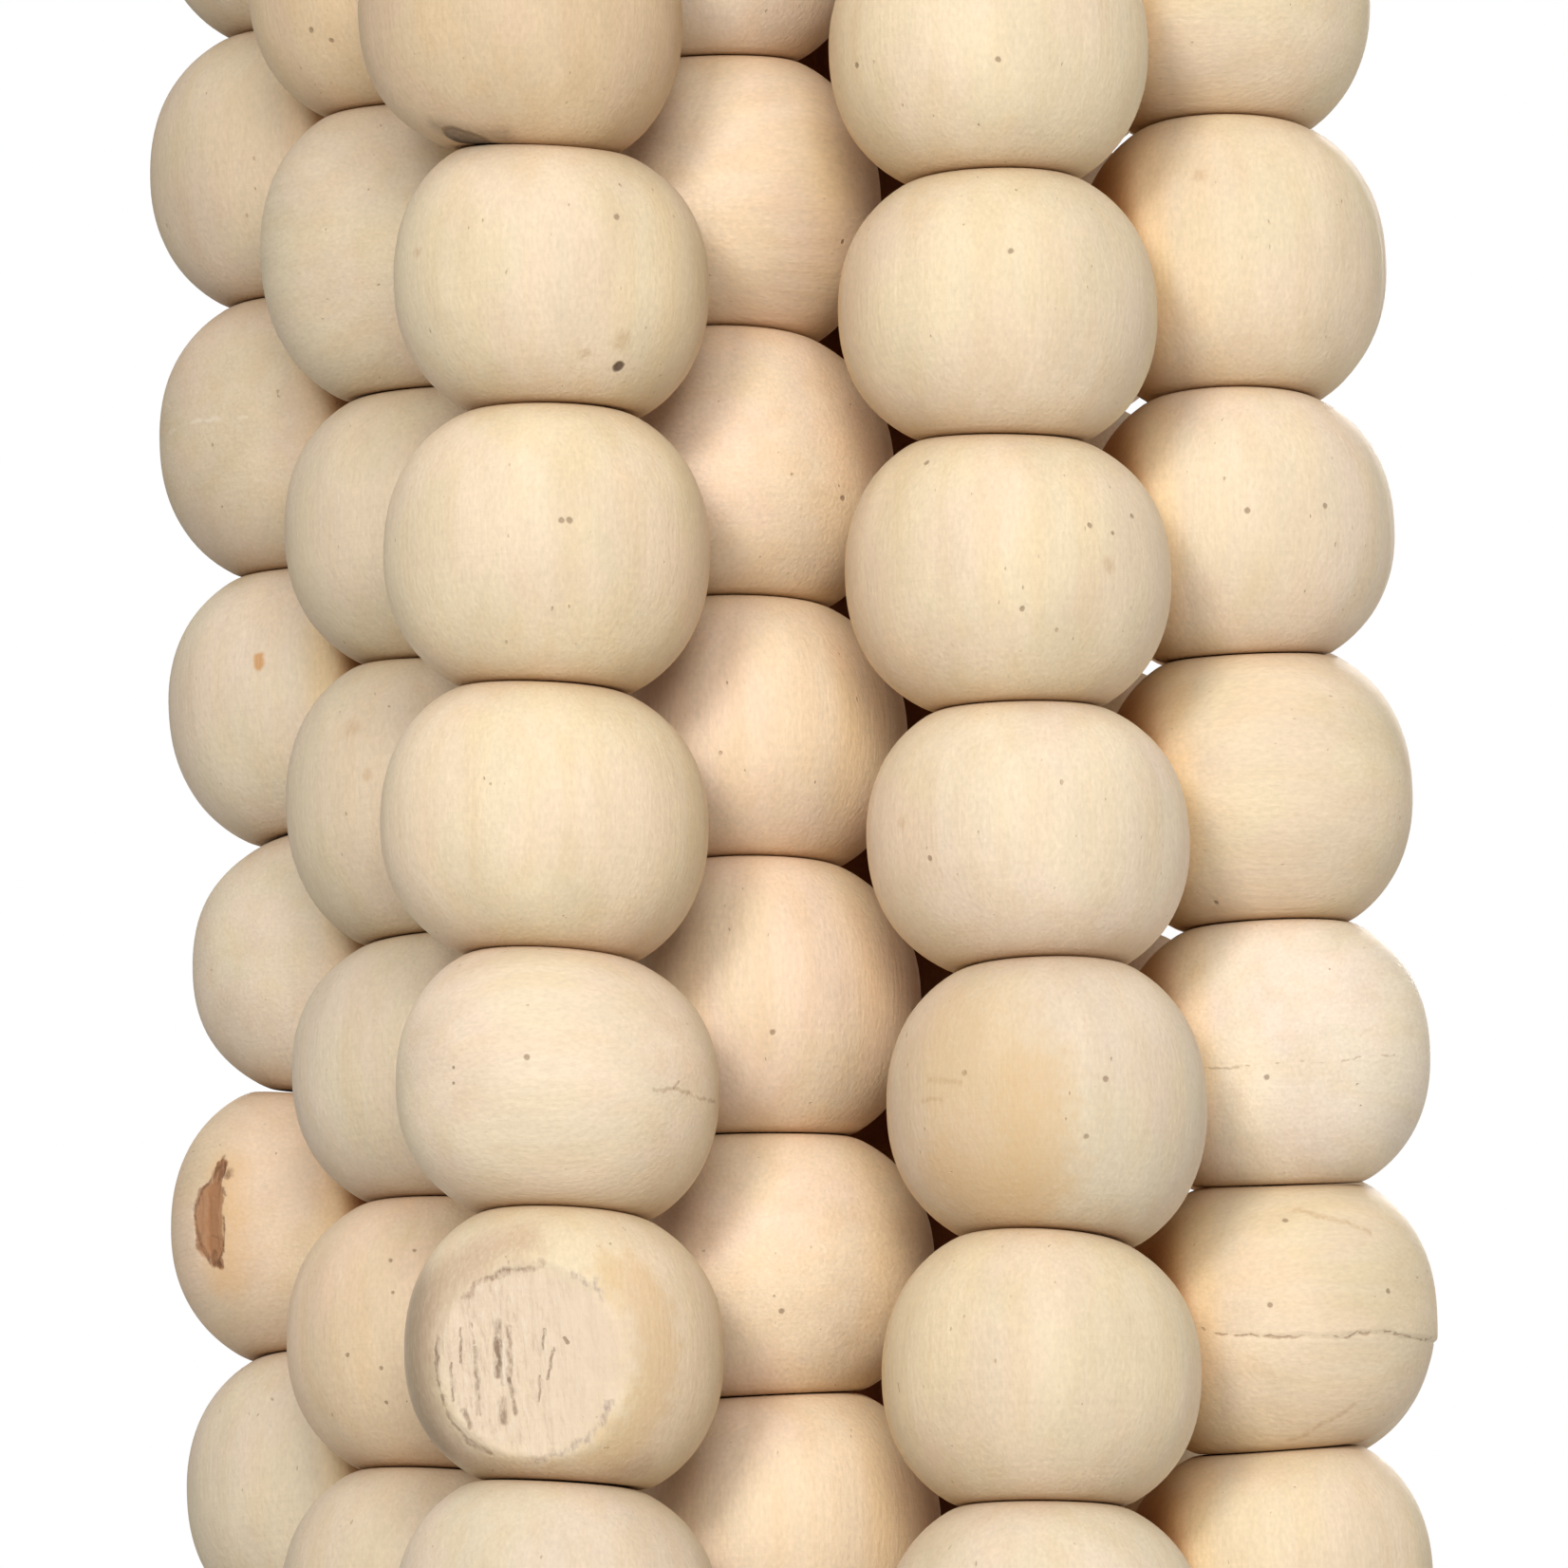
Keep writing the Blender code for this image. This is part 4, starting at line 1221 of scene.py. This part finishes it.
# How dark and how light a noise makes a surface as it runs from low to high
Light = namedtuple("Light", "noise low high dark light")
WOOD_LIGHTS = (
    Light("mottle", 0.3, 0.7, 0.925, 1.05),
    Light("fibres", 0.25, 0.75, 0.98, 1.016),
    Light("turning", 0.3, 0.7, 0.99, 1.008),
    Light("speckle", 0.3, 0.7, 0.97, 1.02),
    Light("flecks", 0.3, 0.7, 0.95, 1.04),
)
CORD_LIGHTS = (
    Light("fibres", 0.3, 0.7, 0.72, 1.16),
    Light("patches", 0.3, 0.7, 0.9, 1.06),
    Light("fuzz", 0.3, 0.7, 0.94, 1.05),
)

# How far each noise raises a surface and how deep a pore is, in millimetres
WOOD_RELIEF = {"fibres": 0.035, "turning": 0.02, "speckle": 0.03}
CORD_RELIEF = {"fibres": 0.18, "fuzz": 0.05}
PORE_DEPTH = 0.05


def surface_noises(tree, rows):
    """The noises of a table, by name."""
    return {
        name: stretched_noise(tree, attribute(tree, row.follows), row.scale, row.detail, row.roughness)
        for name, row in rows.items()
    }


def noise_light(tree, noises, rows):
    """How much lighter or darker the noises make a surface."""
    light = 1.0
    for row in rows:
        light = times(tree, light, remap(tree, noises[row.noise], row.low, row.high, row.dark, row.light))
    return light


def noise_height(tree, noises, relief):
    """How far the noises raise a surface."""
    height = 0.0
    for name, rise in relief.items():
        height = mathed(tree, "ADD", height, times(tree, noises[name], rise))
    return height


def finish_surface(tree, surface, colour, height):
    """Gives a surface its colour and the bumps of its height in millimetres."""
    bump = add_node(tree, "Bump", {"Height": height, "Distance": MM, "Strength": 1.0})
    tree.links.new(colour, surface.inputs["Base Color"])
    tree.links.new(bump.outputs["Normal"], surface.inputs["Normal"])


def near_line(tree, place, points):
    """Distance in millimetres from a place on the bead to a line of points, or to a single point."""
    if len(points) == 1:
        return vectored(tree, "DISTANCE", place, points[0], "Value")
    nearest = None
    for start, stop in zip(points, points[1:]):
        reach = stop - start
        from_start = vectored(tree, "SUBTRACT", place, start)
        share = vectored(tree, "DOT_PRODUCT", from_start, reach / reach.length_squared, "Value")
        share = add_node(tree, "Clamp", {"Value": share}).outputs[0]
        foot = vectored(tree, "SCALE", tuple(reach), share)
        away = vectored(tree, "DISTANCE", from_start, foot, "Value")
        nearest = away if nearest is None else mathed(tree, "MINIMUM", nearest, away)
    return nearest


# The strokes on the scraped face: where in their noise they start and are whole, how strong they
# are, and their colour. They are STROKE_DEPTH deep and fade to FADED from left to right across
# the bead, in millimetres.
STROKES = (
    {"start": 0.52, "whole": 0.70, "strength": 0.26, "colour": (0.34, 0.24, 0.17, 1.0)},
    {"start": 0.48, "whole": 0.34, "strength": 0.22, "colour": (0.84, 0.73, 0.60, 1.0)},
)
STROKE_SCALE = (3.4, 3.4, 0.5)
STROKE_DEPTH = 0.16
STROKES_FADE = (-4.0, 2.5)
FADED = 0.25


def streaked(tree, place, mask, colour, height):
    """The upright scratches on a scraped face, strongest left of its middle."""
    streaks = stretched_noise(tree, place, STROKE_SCALE, detail=3.0, roughness=0.6)
    across = add_node(tree, "SeparateXYZ", {"Vector": place}).outputs["X"]
    strength = times(tree, mask, remap(tree, across, *STROKES_FADE, 1.0, FADED, smooth=True))
    for row in STROKES:
        shown = remap(tree, streaks, row["start"], row["whole"], 0.0, row["strength"], smooth=True)
        colour = mixed(tree, times(tree, strength, shown), colour, row["colour"])
    cut = times(tree, strength, times(tree, streaks, STROKE_DEPTH))
    return colour, mathed(tree, "SUBTRACT", height, cut)


# How coarse the wander of the marks' outlines is, and the noise that breaks marks up between two
# of its values
WANDER_SCALE = 1.1
GRIT_SCALE = (4.2, 4.2, 1.1)
GRIT_RANGE = (0.36, 0.60)


def marked_wood(tree, colour, height, marks):
    """A wood colour and height with a bead's marks on them."""
    place = attribute(tree, "place")
    values = {"Vector": place, "Scale": WANDER_SCALE, "Detail": 3.0}
    wander = add_node(tree, "TexNoise", values).outputs["Color"]
    centred = vectored(tree, "SUBTRACT", wander, (0.5, 0.5, 0.5))
    grit = stretched_noise(tree, place, GRIT_SCALE, detail=3.0, roughness=0.7)
    for mark in marks:
        kind = MARK_KINDS[mark.kind]
        moved = vectored(tree, "ADD", place, vectored(tree, "SCALE", centred, 2 * kind.wander))
        away = near_line(tree, moved, mark.points)
        inner = mark.size * max(1 - kind.border / 2, 0.0)
        outer = mark.size * (1 + kind.border / 2)
        mask = remap(tree, away, inner, outer, 1.0, 0.0, smooth=True)
        whole = remap(tree, grit, *GRIT_RANGE, 1 - kind.broken, 1.0, smooth=True)
        share = times(tree, times(tree, mask, kind.strength), whole)
        colour = mixed(tree, share, colour, kind.colour + (1.0,))
        if mark.kind == "scrape":
            colour, height = streaked(tree, place, mask, colour, height)
        if kind.depth:
            height = mathed(tree, "SUBTRACT", height, times(tree, mask, kind.depth))
    return colour, height


# Painted shade in the crevices between strands: the wood is tinted warmer and darker where other
# strands' beads crowd it. How crowded it is where a tint starts and where it is whole, and the tint
PAINTED_CREVICE_SHADE_TINTS = (
    {"start": 0.75, "whole": 1.1, "tint": (1.12, 1.04, 0.89, 1.0)},
    {"start": 1.1, "whole": 1.45, "tint": (0.84, 0.58, 0.38, 1.0)},
    {"start": 1.2, "whole": 1.55, "tint": (0.30, 0.17, 0.10, 1.0)},
)

# Tints and colours of the wood
GREENISH = (0.99, 1.003, 0.975, 1.0)
PINKISH = (1.005, 0.99, 1.01, 1.0)
RING_TINT = (0.96, 0.90, 0.80, 1.0)
PORE_COLOUR = (0.42, 0.26, 0.13, 1.0)
# The colour towards the bead ends: worn end wood and painted shade at the seams
WEAR_AND_SEAM_SHADE_COLOUR = (0.46, 0.27, 0.13, 1.0)


def wood_material(name, marks=()):
    """Raw turned wood: mottled, finely fibred, a few pores, darker at the bead's ends with wear and painted
    seam shade, and with painted shade in crevices.
    """
    material, tree, surface = new_material(name)
    noises = surface_noises(tree, WOOD_NOISES)
    pink = remap(tree, noises["blush"], 0.4, 0.6, smooth=True)
    tint = mixed(tree, pink, GREENISH, PINKISH)
    colour = mixed(tree, 1.0, attribute(tree, "tone", "Color"), tint, "MULTIPLY")
    ringed = remap(tree, noises["rings"], 0.42, 0.68, 0.0, 0.5)
    colour = mixed(tree, ringed, colour, RING_TINT, "MULTIPLY")
    colour = vectored(tree, "SCALE", colour, noise_light(tree, noises, WOOD_LIGHTS))
    pitted = remap(tree, noises["pores"], 0.78, 0.82)
    colour = mixed(tree, times(tree, pitted, 0.5), colour, PORE_COLOUR)
    # Painted crevice shade, warmer and darker as other strands' beads crowd the wood
    crowded = attribute(tree, "painted_crevice_shade", "Fac")
    for row in PAINTED_CREVICE_SHADE_TINTS:
        share = remap(tree, crowded, row["start"], row["whole"], smooth=True)
        colour = mixed(tree, share, colour, row["tint"], "MULTIPLY")
    # Darker towards the bead ends: partly worn wood, partly painted shade at the seams
    worn = times(tree, attribute(tree, "wear_and_seam_shade", "Fac"), remap(tree, noises["speckle"], 0.3, 0.7, 0.45, 0.75))
    colour = mixed(tree, worn, colour, WEAR_AND_SEAM_SHADE_COLOUR)
    height = noise_height(tree, noises, WOOD_RELIEF)
    height = mathed(tree, "SUBTRACT", height, times(tree, pitted, PORE_DEPTH))
    colour, height = marked_wood(tree, colour, height, marks)
    finish_surface(tree, surface, colour, height)
    tree.links.new(remap(tree, noises["mottle"], 0.3, 0.7, 0.52, 0.66), surface.inputs["Roughness"])
    surface.inputs["Specular IOR Level"].default_value = 0.3
    return material


def cord_material(name, pale, deep):
    """Twisted natural cord: fibres along its plies, darker in the grooves between them as painted shade."""
    material, tree, surface = new_material(name)
    noises = surface_noises(tree, CORD_NOISES)
    # Painted shade: darker from the crowns of the plies into the grooves between them
    colour = mixed(tree, remap(tree, attribute(tree, "crown", "Fac"), 0.0, 0.75), deep, pale)
    colour = vectored(tree, "SCALE", colour, noise_light(tree, noises, CORD_LIGHTS))
    finish_surface(tree, surface, colour, noise_height(tree, noises, CORD_RELIEF))
    surface.inputs["Roughness"].default_value = 0.85
    surface.inputs["Specular IOR Level"].default_value = 0.2
    return material


# The floor, in metres, far below so that it hides nothing, and its linear colours
FLOOR_RADIUS = 12.0
FLOOR_HEIGHT = -8.0
FLOOR_CORNERS = 96
FLOOR_COLOURS = ((0.80, 0.80, 0.79, 1.0), (0.86, 0.86, 0.85, 1.0))


def floor_material():
    """A pale, faintly clouded floor that glows a little, so that it looks white."""
    material, tree, surface = new_material("studio_floor")
    vector = tree.nodes.new("ShaderNodeTexCoord").outputs["Object"]
    clouds = add_node(tree, "TexNoise", {"Vector": vector, "Scale": 3.0, "Detail": 2.0}).outputs["Fac"]
    colour = mixed(tree, clouds, *FLOOR_COLOURS)
    tree.links.new(colour, surface.inputs["Base Color"])
    tree.links.new(colour, surface.inputs["Emission Color"])
    surface.inputs["Emission Strength"].default_value = 0.6
    surface.inputs["Roughness"].default_value = 0.8
    return material


def make_floor():
    """A pale floor that is seen but sheds no light or shade on the tassel."""
    data = bpy.data.meshes.new("studio_floor")
    turns = [2 * math.pi * step / FLOOR_CORNERS for step in range(FLOOR_CORNERS)]
    rim = [(FLOOR_RADIUS * math.cos(turn), FLOOR_RADIUS * math.sin(turn), FLOOR_HEIGHT) for turn in turns]
    data.from_pydata(rim, [], [list(range(FLOOR_CORNERS))])
    data.materials.append(floor_material())
    floor = new_object("studio_floor", data)
    floor.visible_diffuse = False
    floor.visible_glossy = False
    floor.visible_shadow = False


# Lights: where each softbox stands and how wide and high it is, in metres, and its power in watts
LIGHTS = (
    {"name": "left_softbox", "at": (-0.375, -1.401, 0.161), "width": 0.3, "height": 0.3, "power": 10.6},
    {"name": "front_softbox", "at": (0.076, -1.449, 0.161), "width": 0.5, "height": 0.5, "power": 10.2},
    {"name": "back_softbox", "at": (0.2, 1.5, 0.3), "width": 0.6, "height": 0.6, "power": 14.0},
)

# The white surround as soft lobes of light: the way each one comes from, and its strength
LOBES = (
    {"axis": "X", "side": -1.0, "strength": 0.28},
    {"axis": "X", "side": 1.0, "strength": 0.55},
    {"axis": "Y", "side": 1.0, "strength": 0.34},
    {"axis": "Z", "side": -1.0, "strength": 1.26},
    {"axis": "Z", "side": 1.0, "strength": 1.3},
)


def make_lights():
    """The softboxes, each turned to the tassel."""
    for row in LIGHTS:
        data = bpy.data.lights.new(row["name"], "AREA")
        data.shape = "RECTANGLE"
        data.size = row["width"]
        data.size_y = row["height"]
        data.energy = row["power"]
        light = new_object(row["name"], data)
        light.location = row["at"]
        aim = Vector(TARGET) - Vector(row["at"])
        light.rotation_euler = aim.to_track_quat("-Z", "Y").to_euler()
        light.visible_camera = False


def make_world():
    """A white surround that lights the tassel softly and looks white itself."""
    world = bpy.data.worlds.new("studio")
    world.use_nodes = True
    tree = world.node_tree
    tree.nodes.clear()
    direction = tree.nodes.new("ShaderNodeTexCoord").outputs["Generated"]
    parts = add_node(tree, "SeparateXYZ", {"Vector": direction}).outputs
    level = 0.0
    for row in LOBES:
        facing = mathed(tree, "MAXIMUM", times(tree, parts[row["axis"]], row["side"]), 0.0)
        share = times(tree, mathed(tree, "POWER", facing, 2.0), row["strength"])
        level = mathed(tree, "ADD", share, level)
    seen = add_node(tree, "LightPath").outputs["Is Camera Ray"]
    strength = mathed(tree, "MAXIMUM", level, seen)
    background = add_node(tree, "Background", {"Color": (1.0, 1.0, 1.0, 1.0), "Strength": strength})
    output = tree.nodes.new("ShaderNodeOutputWorld")
    tree.links.new(background.outputs[0], output.inputs["Surface"])
    bpy.context.scene.world = world
    bpy.context.scene.view_settings.view_transform = "Standard"


# Linear colours of the cord, on its plies and in its grooves, where it is darker as painted shade
PALE_CORD = (0.78, 0.655, 0.475, 1.0)
CORD_GROOVE_SHADE = (0.36, 0.255, 0.15, 1.0)


def dress():
    """Every piece of the tassel, each in place of the solids it stands for."""
    plain = wood_material("bead_wood")
    cord = cord_material("natural_cord", PALE_CORD, CORD_GROOVE_SHADE)
    knot = tied_knot()
    worn = []
    for strand in STRANDS:
        name = strand_name(strand)
        worn.append((make_beads(strand, plain), name + "_beads", "bead_wood"))
        worn.append((make_cord(strand, knot, cord), name + "_cord", "natural_cord"))
    worn.append((make_head(cord), "head_binding", "natural_cord"))
    worn.append((make_loop(cord), "hanging_loop", "natural_cord"))
    for piece, node, finish in worn:
        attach(piece, "root")
        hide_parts(node)


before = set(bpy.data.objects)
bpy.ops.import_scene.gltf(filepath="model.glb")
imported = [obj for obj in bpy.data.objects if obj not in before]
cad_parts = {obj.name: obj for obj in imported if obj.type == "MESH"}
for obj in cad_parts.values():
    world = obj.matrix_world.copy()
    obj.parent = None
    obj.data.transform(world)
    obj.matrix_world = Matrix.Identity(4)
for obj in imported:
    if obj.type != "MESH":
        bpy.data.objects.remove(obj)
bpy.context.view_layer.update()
dress()
make_floor()
make_lights()
make_world()
make_camera()
